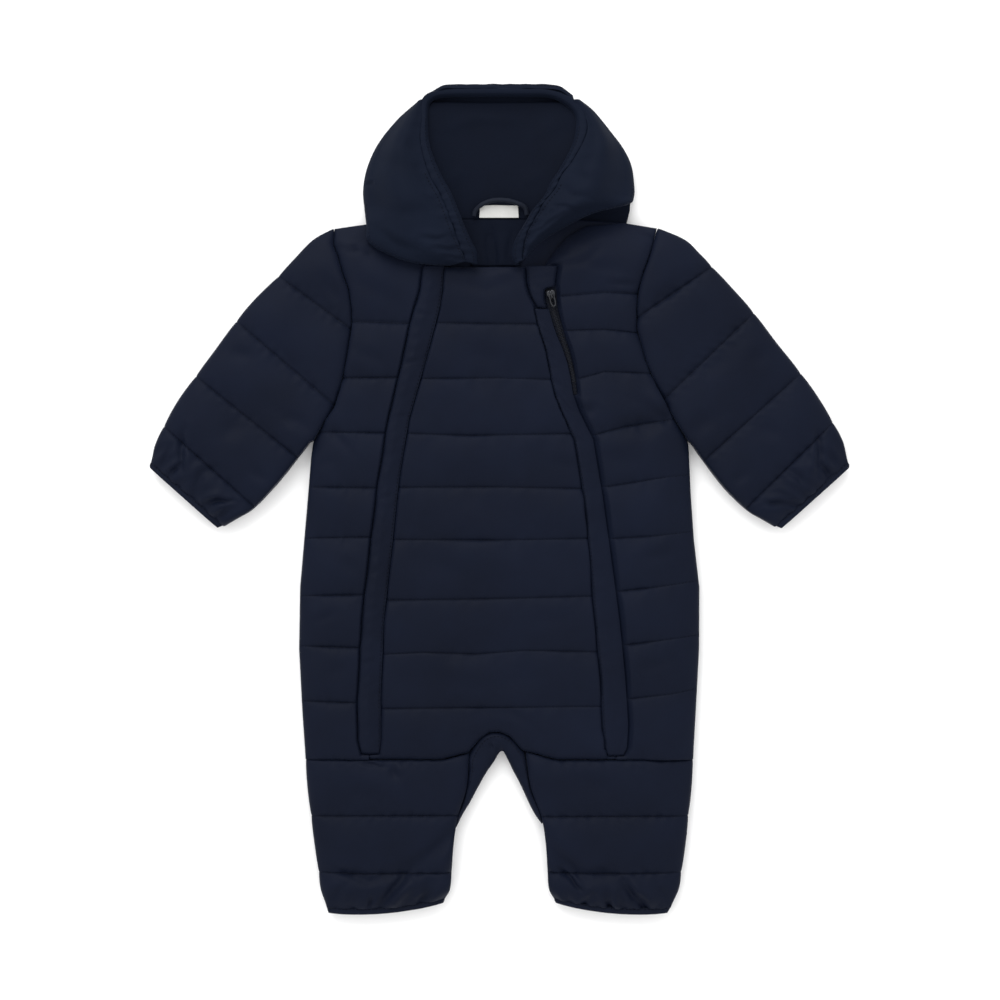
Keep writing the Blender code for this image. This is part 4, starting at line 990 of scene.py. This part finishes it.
HOOD_LEFT = (
    # casing seam x y z, outer edge x y z, swell between them
    (-61.2, 319, 19, -65, 318.6, 12, 0.5), (-62.4, 302, 24, -82, 303.6, 11.4, 4),
    (-63.2, 286, 28, -97.2, 284.4, 11.4, 9), (-60, 270, 31, -106, 265.2, 11.4, 12),
    (-54.6, 254.8, 33, -109.2, 247.6, 11.4, 13), (-46, 239.6, 34, -108, 232, 12, 14),
    (-41.2, 228.4, 35, -106, 218, 22, 10), (-37.2, 217.2, 35.4, -103.6, 204, 24, 8),
    (-34, 207.6, 35, -80, 191.6, 25, 7), (-30.2, 197.2, 33, -60, 187.4, 25, 5),
    (-26.2, 189, 30.5, -40, 186.2, 26, 2),
)
HOOD_RIGHT = (
    (58.0, 318.4, 19.5, 64.6, 319.4, 12, 0.5), (66, 310.0, 21, 75.6, 310.6, 11.4, 1),
    (70, 297, 24.5, 89.2, 294, 11.4, 5), (67, 285, 28, 98.8, 281.2, 11.4, 9),
    (58, 268.5, 31, 105.2, 268.4, 11.4, 12), (49.5, 257, 33, 107.6, 254.8, 11.4, 13),
    (44, 246, 34, 107.6, 242, 13, 14), (35, 234.5, 35, 102, 235, 20, 11),
    (29.4, 224.5, 35.4, 74, 227.4, 25.5, 8), (22, 210.5, 35, 47, 213.8, 26, 6),
    (19, 197.4, 33, 30, 202, 26.5, 3), (18.6, 190, 30.5, 22.6, 193.4, 27, 1),
)
SIDE_ROWS = 130          # grid of a hood side, from the crown to its lower end
HOOD_LEFT_CREASES = (
    (2.6, 1.4, 0.6, ((-109, 252), (-101, 250.6))),
    (1.3, 7, 0.4, ((-100, 272), (-84, 262), (-70, 262))),
    (1.2, 6, 0.4, ((-96, 232), (-78, 224), (-60, 226))),
    (1.6, 2.6, 0.6, ((-58, 238), (-50, 232), (-44, 226))),
    (1.6, 2.2, 0.6, ((-62, 206), (-50, 205.6), (-41, 208))),
    (1.5, 2.0, 0.6, ((-52, 198), (-40, 197), (-33, 200))),
    (1.8, 3.4, 0.5, ((-96, 214), (-84, 203), (-66, 198))), (1.2, 5, 0.4, ((-74, 284), (-66, 274))),
    (1.4, 1.8, 0.6, ((-46, 190.4), (-38, 191.6), (-30, 191.2))),
    (1.2, 3, 0.5, ((-66, 262), (-60, 252), (-54, 246))),
    (0.9, 9, 0.3, ((-92, 290), (-80, 276))),
)
HOOD_RIGHT_CREASES = (
    (1.0, 7, 0.4, ((96, 276), (80, 268), (66, 268))),
    (1.4, 3, 0.5, ((50, 246), (58, 240), (70, 238))),
    (2.0, 2.4, 0.7, ((28, 200), (40, 208), (52, 216))),
    (1.8, 2.0, 0.6, ((25, 210), (34, 214), (44, 222))),
    (1.6, 1.8, 0.6, ((30, 222), (38, 224), (44, 230))),
    (1.4, 2.0, 0.6, ((42, 232), (52, 230), (60, 226))),
    (1.2, 4, 0.4, ((60, 258), (70, 250))), (1.6, 1.6, 0.6, ((22, 196), (27, 199))),
    (0.9, 8, 0.3, ((98, 252), (80, 246))), (1.0, 3, 0.5, ((58, 262), (66, 266), (72, 272))),
)


def hood_side(name, rows, creases, gathers_from, seed):
    """A padded side: a crowned sheet that turns down and in at its outer edge."""
    numbered = [(float(k), *row) for k, row in enumerate(rows)]
    stations = np.linspace(0, len(rows) - 1, SIDE_ROWS)
    ix, iy, iz, ox, oy, oz, swell = (
        resampled(numbered, k, stations)[:, None] for k in range(1, 8)
    )
    swell = np.maximum(swell, 0.0)
    part = (1 - (1 - np.linspace(0, 1, 80)) ** 1.25)[None, :]
    x = ix + part * (ox - ix)
    y = iy + part * (oy - iy)
    draped = eased((stations - gathers_from - 1.0) / 2.0)[:, None]      # the free lower edge
    fall = 1 - np.sqrt(np.clip(1 - part ** (2.6 - 0.8 * draped), 0, 1))
    oz = oz - 3.2 * draped
    z = iz + fall * (oz - iz)
    z = z + 0.8 * swell * np.sin(math.pi * np.minimum(1.0, part * 1.15)) ** 1.6
    wide = np.hypot(ox - ix, oy - iy)
    soft = roll(np.minimum(part, 1 - part) * wide, 16)
    z = z + soft * (creased(x, y, creases) + 0.7 * ripple(x, y, 48, seed))
    run = np.cumsum(np.hypot(np.gradient(ix[:, 0]), np.gradient(iy[:, 0])))[:, None]
    gathered = eased((stations - gathers_from) / 2.0)[:, None]
    z = z + (0.25 + 0.75 * gathered) * 1.15 * np.exp(-((part * wide / 10) ** 2)) * (
        ripple(run, 0.2 * part * wide, 7.5, seed + 1)
    )
    z = z - 0.2 * np.exp(-part * wide / 1.6)
    thick = 3.0 + 4.0 * roll(np.minimum(part, 1 - part), 0.4)
    lower = np.maximum(z - thick, oz - 3.0)
    upper = np.stack((x, y, np.maximum(z, lower + 0.8)), -1)
    under = np.stack((x, y, lower), -1)
    edge = upper[:, -6] + THREAD_LIFT
    piece = sew(
        name + "_padded", upper, under, hood_cloth, name,
        [upper[int(SIDE_ROWS * gathers_from / len(rows)):, 3] + THREAD_LIFT, edge[60:]],
        lined=lining_cloth,
    )
    return piece


hood_side("hood_left", HOOD_LEFT, HOOD_LEFT_CREASES, 4.0, 121)
hood_side("hood_right", HOOD_RIGHT, HOOD_RIGHT_CREASES, 6.0, 131)

# ---- Elastic casing ------------------------------------------------------------------------
# A narrow casing of shell cloth runs round the face opening with flat elastic inside. The
# elastic draws the cloth up into small gathers, closest on the cheeks and at the neck.

CASING = (
    # seam on the hood side x y, edge of the opening x y, height of the crest
    (-25.6, 188.4, -17.4, 187, 30), (-29.6, 197, -17.8, 196, 32.6),
    (-33.4, 207.4, -22, 204.6, 34.6),
    (-36.6, 217, -27, 215.4, 35), (-40.6, 228.2, -32.4, 229, 34.6),
    (-45.4, 239.4, -38, 242.8, 33.6),
    (-54, 254.6, -46, 257.2, 32.6), (-59.4, 269.8, -51.6, 270, 30.6), (-62.6, 286, -56, 285, 27.6),
    (-61.8, 302, -57, 303.6, 23.8), (-60.4, 318.6, -55.4, 316, 20), (-49, 325.2, -46, 321, 19),
    (-20, 326.9, -20, 321.6, 19), (15, 326.9, 15, 321.6, 19), (41, 325.4, 39, 321, 19),
    (56.6, 319.4, 51.6, 315.6, 19.6), (66, 309.8, 60, 306.6, 21), (69.2, 296.6, 60.4, 294.6, 24.2),
    (66.2, 284.6, 57.2, 281.2, 27.6), (57.2, 268, 48.4, 263.6, 30.6),
    (48.7, 256.6, 40.4, 251.6, 32.6),
    (43.2, 245.6, 35.6, 241.2, 33.6), (34.2, 234, 26, 229.2, 34.6), (28.6, 224, 20.4, 219.6, 35),
    (21.2, 210.2, 12.4, 206, 34.6), (18.2, 197.2, 9.4, 194.6, 32.6), (17.8, 189.6, 12, 187, 30),
)
CASING_LAP = 1.5         # over the edge of the hood side
CASING_DEPTH = 5.6
casing_rows = [(float(k), *row) for k, row in enumerate(CASING)]
stations = np.linspace(0, len(CASING) - 1, 420)
ox, oy, ix, iy, iz = (resampled(casing_rows, k, stations)[:, None] for k in range(1, 6))
part = np.linspace(0, 1, 22)[None, :]
over_x, over_y = (
    CASING_LAP * (a - b) / np.hypot(ox - ix, oy - iy) for a, b in ((ox, ix), (oy, iy))
)
ox, oy = ox + over_x, oy + over_y
x = ox + part * (ix - ox)
y = oy + part * (iy - oy)
run = np.cumsum(np.hypot(np.gradient(ix[:, 0]), np.gradient(iy[:, 0])))[:, None]
cheek = np.clip(np.abs(stations - 13.0) / 7.0 - 0.3, 0.12, 1.0)[:, None]
drop = np.interp(
    part, (0, 0.12, 0.26, 0.45, 0.66, 0.82, 0.94, 1),
    (1.6, 0.2, -0.2, -0.3, 0.0, 1.2, 2.8, 4.4),
)
folds = cheek * ripple(run, 0.5 * part, 6.0, 141)
folds = folds * np.interp(part, (0, 0.3, 0.75, 1), (1.3, 0.8, 0.5, 0.2))
upper = np.stack((x, y, iz - drop + 0.75 * folds), -1)
lower = np.stack((x, y, iz - CASING_DEPTH - np.where(part < 1, 0.0, 1.0)), -1)
casing = sew(
    "hood_casing_gathered", upper, lower, hood_cloth, "hood_casing",
    [upper[:150, 15] + THREAD_LIFT, upper[270:, 15] + THREAD_LIFT], lined=lining_cloth,
)

# ---- Hood lining ---------------------------------------------------------------------------
# Plain woven lining, laid smoothly inside the hood from the neck seam up to the crown and
# rising at both sides to the casing.

HOOD_LINING = (
    # y, left, right, rise at the sides
    (224.6, -40, 34, 3), (232, -44, 38, 4.4), (246, -52, 46, 7), (262, -60, 56, 9),
    (278, -65, 64, 10), (294, -66, 69, 9), (308, -62, 65, 7), (318, -54, 52, 3),
)
at = np.linspace(224.6, 318, 72)
left, right, rise = (
    np.interp(at, [row[0] for row in HOOD_LINING], [row[k] for row in HOOD_LINING])[:, None]
    for k in (1, 2, 3)
)
part = np.linspace(0, 1, 80)[None, :]
x = left + part * (right - left)
y = at[:, None] + 0 * x
z = HOOD_BACK_TOP + SEAM_GAP + rise * np.abs(2 * part - 1) ** 2.5 * 0.9
z = z + 0.35 * (1 + ripple(x, y, 40, 151)) * roll(np.minimum(at - 224.6, 318 - at)[:, None], 20)
fold = creased(x, y, (
    (-1.0, 5, 0.0, ((-44, 300), (-20, 306), (16, 304))), (-0.8, 6, 0.0, ((30, 290), (48, 304))),
    (-0.8, 5, 0.0, ((-40, 250), (-30, 266))), (-0.6, 6, 0.0, ((20, 252), (34, 262))),
))
z = z + np.maximum(0.0, fold)
hood_lining = sew(
    "hood_lining_cloth", np.stack((x, y, z + 1.3), -1), np.stack((x, y, z), -1),
    lining_cloth, "hood_lining",
)

# ---- Inner back ----------------------------------------------------------------------------
# The same lining inside the back, seen in the neck opening below the label, where a soft fold
# runs down its middle.

BACK_LINING = (
    (187.2, -22, 15), (195, -25, 18), (204, -30, 24), (214, -38, 32), (224.2, -40, 34),
)
at = np.linspace(187.2, 224.2, 40)
left, right = (
    np.interp(at, [row[0] for row in BACK_LINING], [row[k] for row in BACK_LINING])[:, None]
    for k in (1, 2)
)
part = np.linspace(0, 1, 60)[None, :]
x = left + part * (right - left)
y = at[:, None] + 0 * x
z = BACK_TOP + SEAM_GAP + 2.2 + creased(x, y, (
    (3.2, 4.6, 0.4, ((-6, 214), (-6.4, 200), (-6.6, 183))),
    (0.5, 2.4, 0.5, ((10, 216), (8, 204), (6, 192))),
))
z = np.clip(z, BACK_TOP + SEAM_GAP + 0.7, None)
back_lining = sew(
    "back_lining_cloth", np.stack((x, y, z), -1), np.stack((x, y, z - 0.65), -1),
    lining_cloth, "back_lining",
)

# ---- Hanger loop ---------------------------------------------------------------------------
# A turned tube of lining cloth, both ends caught in the neck seam, standing in a low arch
# above the label.

LOOP_NAVY = (0.0105, 0.0135, 0.0225)
LOOP_RADIUS = 1.8
HANGER_LOOP = (
    (-20.5, 226.6, 13.2), (-19, 231.4, 13.8), (-13, 236.2, 15.4), (-5, 238.8, 16.2),
    (4, 239, 16.2), (13, 237, 15.6), (20, 233.6, 14.2), (22, 227.4, 13.2),
)


def tube(name, path, radius, cloth, node, flatten=1.0, closed=False, body="suit", around=16):
    """A round or flattened tube along a path of points in mm, with rounded ends."""
    path = np.asarray(path, float)
    ahead = np.roll(path, -1, 0) - np.roll(path, 1, 0)
    if not closed:
        ahead[0] = path[1] - path[0]
        ahead[-1] = path[-1] - path[-2]
    ahead /= np.linalg.norm(ahead, axis=1)[:, None]
    aside = np.cross(ahead, (0, 0, 1.0))
    weak = np.linalg.norm(aside, axis=1) < 1e-3
    aside[weak] = (1.0, 0.0, 0.0)
    aside /= np.linalg.norm(aside, axis=1)[:, None]
    for k in range(1, len(aside)):
        aside[k] = aside[k - 1] - np.dot(aside[k - 1], ahead[k]) * ahead[k]
        aside[k] /= np.linalg.norm(aside[k])
    up = np.cross(aside, ahead)
    turn = np.linspace(0, 2 * math.pi, around, endpoint=False)
    points = []
    for k, centre in enumerate(path):
        for angle in turn:
            points.append(
                centre
                + radius[k] * (math.cos(angle) * aside[k] + flatten * math.sin(angle) * up[k])
            )
    faces = []
    loops = len(path) if closed else len(path) - 1
    for k in range(loops):
        m = (k + 1) % len(path)
        for j in range(around):
            n = (j + 1) % around
            faces.append((k * around + j, k * around + n, m * around + n, m * around + j))
    if not closed:
        faces.append(tuple(range(around)))
        faces.append(tuple((len(path) - 1) * around + j for j in reversed(range(around))))
    mesh = bpy.data.meshes.new(name)
    mesh.from_pydata([tuple(p * MM) for p in points], [], faces)
    shape = bmesh.new()
    shape.from_mesh(mesh)
    bmesh.ops.recalc_face_normals(shape, faces=shape.faces)
    shape.to_mesh(mesh)
    shape.free()
    mesh.polygons.foreach_set("use_smooth", [True] * len(faces))
    mesh.materials.append(cloth)
    piece = bpy.data.objects.new(name, mesh)
    bpy.context.scene.collection.objects.link(piece)
    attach(piece, body)
    if node:
        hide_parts(node)
    return piece


loop_cloth = cloth_material("navy_loop_cloth", LOOP_NAVY, 0.6, 0.2, 1.5)
loop_rows = [(float(k), *row) for k, row in enumerate(HANGER_LOOP)]
stations = np.linspace(0, len(HANGER_LOOP) - 1, 90)
path = np.stack([resampled(loop_rows, k, stations) for k in (1, 2, 3)], -1)
girth = LOOP_RADIUS * (0.97 + 0.05 * ripple(stations, 0 * stations, 0.7, 161))
tube("hanger_loop_cloth", path, girth, loop_cloth, "hanger_loop")

# ---- Label ---------------------------------------------------------------------------------
# A small folded label of white satin-woven tape, with nothing on it, caught along its lower
# edge in the neck seam.

LABEL_WHITE = (0.62, 0.62, 0.60)
label_cloth = cloth_material("white_satin_label", LABEL_WHITE, 0.42, 0.12, 3.0, 0.0, 0.4)
part = np.linspace(0, 1, 60)[None, :]
share = np.linspace(0, 1, 22)[:, None]
x = -0.4 - 15.8 + 31.6 * part + 0.5 * share * (1 - 2 * part)
y = 225.4 + 10.0 * share - 0.7 * share * (1 - part) ** 3 + 0.25 * share * np.sin(5 * part)
z = 11.35 + 0.2 * np.sin(6 * part + 1) * share + 0.25 * share
label = sew(
    "neck_label_blank", np.stack((x, y, z + 0.5), -1), np.stack((x, y, z), -1), label_cloth,
    "neck_label",
)
label.data.materials[1] = label_cloth

# ---- Zip flaps -----------------------------------------------------------------------------
# A folded strip of lightly padded shell cloth covers each zip. The left one is sewn along the
# centre panel and its free edge turns outwards; the right one covers the lower part of the
# second zip. A row of stitches runs down the sewn side.

FLAP_CREASES = (
    (0.8, 1.6, 0.5, ((-82, 66.5), (-70, 67))), (0.7, 1.8, 0.5, ((-66, 150), (-54, 146))),
    (0.8, 1.8, 0.5, ((-76, 108), (-62, 112))), (0.6, 2.0, 0.5, ((-98, 0), (-86, 4))),
    (0.6, 2.4, 0.4, ((-106, -60), (-92, -56))), (0.6, 2.2, 0.4, ((-111, -132), (-98, -128))),
    (0.9, 1.6, 0.6, ((30, 148), (42, 136))), (0.9, 1.5, 0.6, ((31, 140), (44, 126))),
    (0.8, 1.6, 0.6, ((35, 130), (48, 118))), (0.8, 1.8, 0.6, ((38, 116), (52, 106))),
    (0.9, 2.0, 0.6, ((42, 96), (56, 86))), (1.4, 1.8, 0.5, ((46, 84), (55, 72), (62, 66))),
    (0.8, 2.2, 0.5, ((60, 50), (72, 44))), (0.6, 2.2, 0.4, ((68, 6), (82, 10))),
    (0.9, 2.0, 0.5, ((82, -188), (88, -200))), (0.9, 1.8, 0.5, ((101, -186), (96, -200))),
    (0.6, 2.2, 0.4, ((74, -76), (92, -70))),
)


def flap(name, rows, node, profile, seed, sewn_side, columns=24, base=0.0):
    """A band on the front with a rounded crest; profile is its height share across."""
    at = np.linspace(rows[0, 0], rows[-1, 0], int((rows[-1, 0] - rows[0, 0]) / 1.6) + 2)
    left, right, rise = (np.interp(at, rows[:, 0], rows[:, k])[:, None] for k in (1, 2, 3))
    part = (0.5 - 0.5 * np.cos(math.pi * np.linspace(0, 1, columns)))[None, :]
    ends = np.minimum(at - at[0], at[-1] - at + 6.0)[:, None]      # the top goes into the neck
    close = roll(ends + 0.4, 5)
    x = left + part * (right - left)
    y = at[:, None] + 0 * x
    bed = ZIP_BED + SEAM_GAP + base
    shape = np.interp(part, *profile)
    uneven = 0.45 * ripple(0.4 * x, y, 21, seed) + 0.2 * ripple(x, y, 8, seed + 1)
    z = bed + 1.0 + (shape * rise + (uneven + creased(x, y, FLAP_CREASES)) * shape) * close
    middle = 0.5 * (left + right)
    x = middle + (x - middle) * (0.9 + 0.1 * close) * (1 + 1.4 / (right - left))
    upper = np.stack((x, y, np.maximum(z, bed + 0.5)), -1)
    lower = np.stack((x, y, np.full(x.shape, bed)), -1)
    side = 4 if sewn_side == "left" else columns - 5
    piece = sew(
        name, upper, lower, shell_cloth, node,
        [upper[3:-3, side] + THREAD_LIFT],
    )
    return piece


flap(
    "zip_flap_left_folded", FLAP_LEFT, "zip_flap_left",
    ((0, 0.06, 0.2, 0.42, 0.7, 0.9, 1), (0.25, 0.75, 0.96, 1.0, 0.66, 0.46, 0.36)), 171, "right",
)
flap(
    "zip_flap_right_folded", FLAP_RIGHT, "zip_flap_right",
    ((0, 0.05, 0.16, 0.36, 0.7, 0.9, 1), (0.4, 0.8, 0.9, 0.78, 0.5, 0.36, 0.25)), 181, "left",
)

# ---- Zip cover -----------------------------------------------------------------------------
# A short doubled piece of shell cloth at the top of the right zip, which keeps the slider off
# the chin. It is stitched down all round.

flap(
    "zip_cover_right_doubled", COVER, "zip_cover_right",
    ((0, 0.08, 0.3, 0.7, 0.92, 1), (0.35, 0.8, 1.0, 0.96, 0.75, 0.3)), 191, "left", 26,
)

# ---- Zip tape and teeth --------------------------------------------------------------------
# The open length of the right zip: a closely woven black-navy tape with a nylon coil down its
# middle, seen between the cover and the side panel.

TAPE_NAVY = (0.0034, 0.0044, 0.0080)
COIL_NAVY = (0.0050, 0.0062, 0.0105)
tape_cloth = cloth_material("navy_zip_tape", TAPE_NAVY, 0.6, 0.35, 3.0, 0.05)
at = np.linspace(TAPE[0, 0], TAPE[-1, 0], 120)
left, right = (np.interp(at, TAPE[:, 0], TAPE[:, k])[:, None] for k in (1, 2))
part = np.linspace(0, 1, 16)[None, :]
x = left + part * (right - left)
y = at[:, None] + 0 * x
z = ZIP_BED + SEAM_GAP + 0.75 + 0.12 * ripple(x, y, 12, 201) + 0 * x
tape = sew(
    "zip_tape_right_woven", np.stack((x, y, z), -1), np.stack((x, y, z - 0.7), -1), tape_cloth,
    "zip_tape_right",
    [np.stack((x, y, z + 0.05), -1)[:, 2], np.stack((x, y, z + 0.05), -1)[:, 13]],
)

# The coil is two rows of small nylon teeth that hook into each other.
coil_nylon = bpy.data.materials.new("navy_coil_nylon")
coil_nylon.use_nodes = True
nylon = coil_nylon.node_tree.nodes["Principled BSDF"]
nylon.inputs["Roughness"].default_value = 0.38
nylon.inputs["Specular IOR Level"].default_value = 0.16
grain = coil_nylon.node_tree.nodes.new("ShaderNodeTexNoise")
grain.inputs["Scale"].default_value = 900.0
grain_tones = coil_nylon.node_tree.nodes.new("ShaderNodeValToRGB")
grain_tones.color_ramp.elements[0].color = (*[0.7 * c for c in COIL_NAVY], 1.0)
grain_tones.color_ramp.elements[1].color = (*[1.3 * c for c in COIL_NAVY], 1.0)
coil_nylon.node_tree.links.new(grain.outputs["Fac"], grain_tones.inputs["Fac"])
coil_nylon.node_tree.links.new(grain_tones.outputs["Color"], nylon.inputs["Base Color"])

TOOTH_PITCH = 1.25
teeth = bmesh.new()
for number, place in enumerate(np.arange(94.0, 157.0, TOOTH_PITCH)):
    tape_left, tape_right = (np.interp(place, TAPE[:, 0], TAPE[:, k]) for k in (1, 2))
    middle = 0.5 * (tape_left + tape_right)
    for side in (-1, 1):
        along_zip = place + 0.5 * TOOTH_PITCH * (side > 0)
        made = bmesh.ops.create_uvsphere(teeth, u_segments=10, v_segments=6, radius=1.0)
        for vert in made["verts"]:
            vert.co = (
                (middle + side * 0.55 + vert.co.x * 0.95) * MM,
                (along_zip + vert.co.y * 0.42) * MM,
                (15.35 + vert.co.z * 0.5) * MM,
            )
teeth_mesh = bpy.data.meshes.new("zip_teeth_right")
teeth.to_mesh(teeth_mesh)
teeth.free()
teeth_mesh.polygons.foreach_set("use_smooth", [True] * len(teeth_mesh.polygons))
teeth_mesh.materials.append(coil_nylon)
zip_teeth = bpy.data.objects.new("zip_teeth_right", teeth_mesh)
bpy.context.scene.collection.objects.link(zip_teeth)
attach(zip_teeth, "suit")

# ---- Slider and its bridge -----------------------------------------------------------------
# The slider is a die-cast wedge, wider at its upper end, with two wings that hold the coil. A
# bridge of round wire stands along its top and carries the puller.

SLIDER_AT = (41.2, 163.2)
SLIDER_LOW = 16.2
SLIDER_HIGH = 19.0
PIN_Z = 20.6
ZIP_LEAN = math.radians(14)
METAL_GREY = (0.040, 0.042, 0.047)

brushed_metal = bpy.data.materials.new("brushed_grey_metal")
brushed_metal.use_nodes = True
metal_nodes = brushed_metal.node_tree.nodes
metal_link = brushed_metal.node_tree.links.new
metal = metal_nodes["Principled BSDF"]
metal.inputs["Metallic"].default_value = 1.0
metal.inputs["Roughness"].default_value = 0.34
metal_place = metal_nodes.new("ShaderNodeTexCoord")
brush_lines = metal_nodes.new("ShaderNodeMapping")
brush_lines.inputs["Scale"].default_value = (900.0, 160.0, 500.0)
metal_link(metal_place.outputs["Object"], brush_lines.inputs["Vector"])
scratches = metal_nodes.new("ShaderNodeTexNoise")
scratches.inputs["Scale"].default_value = 4.0
scratches.inputs["Detail"].default_value = 3.0
metal_link(brush_lines.outputs["Vector"], scratches.inputs["Vector"])
metal_tones = metal_nodes.new("ShaderNodeValToRGB")
metal_tones.color_ramp.elements[0].color = (*[0.72 * c for c in METAL_GREY], 1.0)
metal_tones.color_ramp.elements[1].color = (*[1.22 * c for c in METAL_GREY], 1.0)
metal_link(scratches.outputs["Fac"], metal_tones.inputs["Fac"])
metal_link(metal_tones.outputs["Color"], metal.inputs["Base Color"])
metal_bump = metal_nodes.new("ShaderNodeBump")
metal_bump.inputs["Strength"].default_value = 0.2
metal_bump.inputs["Distance"].default_value = 0.00005
metal_link(scratches.outputs["Fac"], metal_bump.inputs["Height"])
metal_link(metal_bump.outputs["Normal"], metal.inputs["Normal"])


def on_zip(across, down, z):
    """A point in mm, measured across and down the zip from the middle of the slider."""
    return (
        SLIDER_AT[0] + across * math.cos(ZIP_LEAN) + down * math.sin(ZIP_LEAN),
        SLIDER_AT[1] + across * math.sin(ZIP_LEAN) - down * math.cos(ZIP_LEAN),
        z,
    )


wedge = bmesh.new()
half_outline = (
    # down, half width
    (-3.8, 1.1), (-3.5, 2.4), (-2.6, 3.2), (-0.6, 3.4), (1.4, 2.7), (2.8, 2.3), (3.6, 1.9),
    (3.8, 0.9),
)
outline = [(w, d) for d, w in half_outline] + [(-w, d) for d, w in reversed(half_outline)]
waist = 0.5 * (SLIDER_LOW + SLIDER_HIGH)
layers = (
    (SLIDER_LOW, 0.86), (SLIDER_LOW + 0.25, 0.98), (waist - 0.35, 1.0), (waist - 0.2, 0.84),
    (waist + 0.2, 0.84), (waist + 0.35, 1.0), (SLIDER_HIGH - 0.5, 1.0), (SLIDER_HIGH - 0.12, 0.93),
    (SLIDER_HIGH, 0.8),
)
loops = [
    [wedge.verts.new([v * MM for v in on_zip(w * size, d * size, z)]) for w, d in outline]
    for z, size in layers
]
for below, above in zip(loops, loops[1:]):
    for k in range(len(outline)):
        m = (k + 1) % len(outline)
        wedge.faces.new((below[k], below[m], above[m], above[k]))
wedge.faces.new(loops[0][::-1])
wedge.faces.new(loops[-1])
bmesh.ops.recalc_face_normals(wedge, faces=wedge.faces)
slider_mesh = bpy.data.meshes.new("zip_slider_right_wedge")
wedge.to_mesh(slider_mesh)
wedge.free()
slider_mesh.materials.append(brushed_metal)
slider = bpy.data.objects.new("zip_slider_right_wedge", slider_mesh)
bpy.context.scene.collection.objects.link(slider)
rounded = slider.modifiers.new("rounded", "BEVEL")
rounded.width = 0.12 * MM
rounded.segments = 2
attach(slider, "suit")
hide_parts("zip_slider_right")

bridge_rows = [
    (float(k), *on_zip(*point)) for k, point in enumerate((
        (0, -3.4, SLIDER_HIGH + 0.75), (0, -2.8, PIN_Z + 1.2), (0, -1.4, PIN_Z + 2.0),
        (0, 0.6, PIN_Z + 2.0), (0, 2.4, PIN_Z + 1.2), (0, 3.2, SLIDER_HIGH + 0.75),
    ))
]
stations = np.linspace(0, 5, 40)
path = np.stack([resampled(bridge_rows, k, stations) for k in (1, 2, 3)], -1)
tube(
    "zip_bridge_right_wire", path, np.full(40, 0.68), brushed_metal,
    "zip_bridge_right", around=14,
)

# ---- Puller --------------------------------------------------------------------------------
# A small bent-wire loop whose cross bar passes under the bridge. It lies down the zip and
# swings up and over about the bar.

PULL_LENGTH = 9.0
PULL_WIDTH = 3.6
half = PULL_WIDTH / 2
loop_points = (
    (-half, 0, 0), (0, 0, 0), (half, 0, 0), (half, 0.35 * PULL_LENGTH, -0.45),
    (half * 0.98, 0.7 * PULL_LENGTH, -0.9), (half * 0.5, PULL_LENGTH, -1.3),
    (-half * 0.5, PULL_LENGTH, -1.3), (-half * 0.98, 0.7 * PULL_LENGTH, -0.9),
    (-half, 0.35 * PULL_LENGTH, -0.45), (-half, 0, 0),
)
puller_rows = [(float(k), *on_zip(a, d, PIN_Z + z)) for k, (a, d, z) in enumerate(loop_points)]
stations = np.linspace(0, len(loop_points) - 1, 100)[:-1]
path = np.stack([resampled(puller_rows, k, stations) for k in (1, 2, 3)], -1)
tube(
    "zip_puller_right_loop", path, np.full(99, 0.6), brushed_metal,
    "zip_puller_right", closed=True, body="zip_puller", around=14,
)
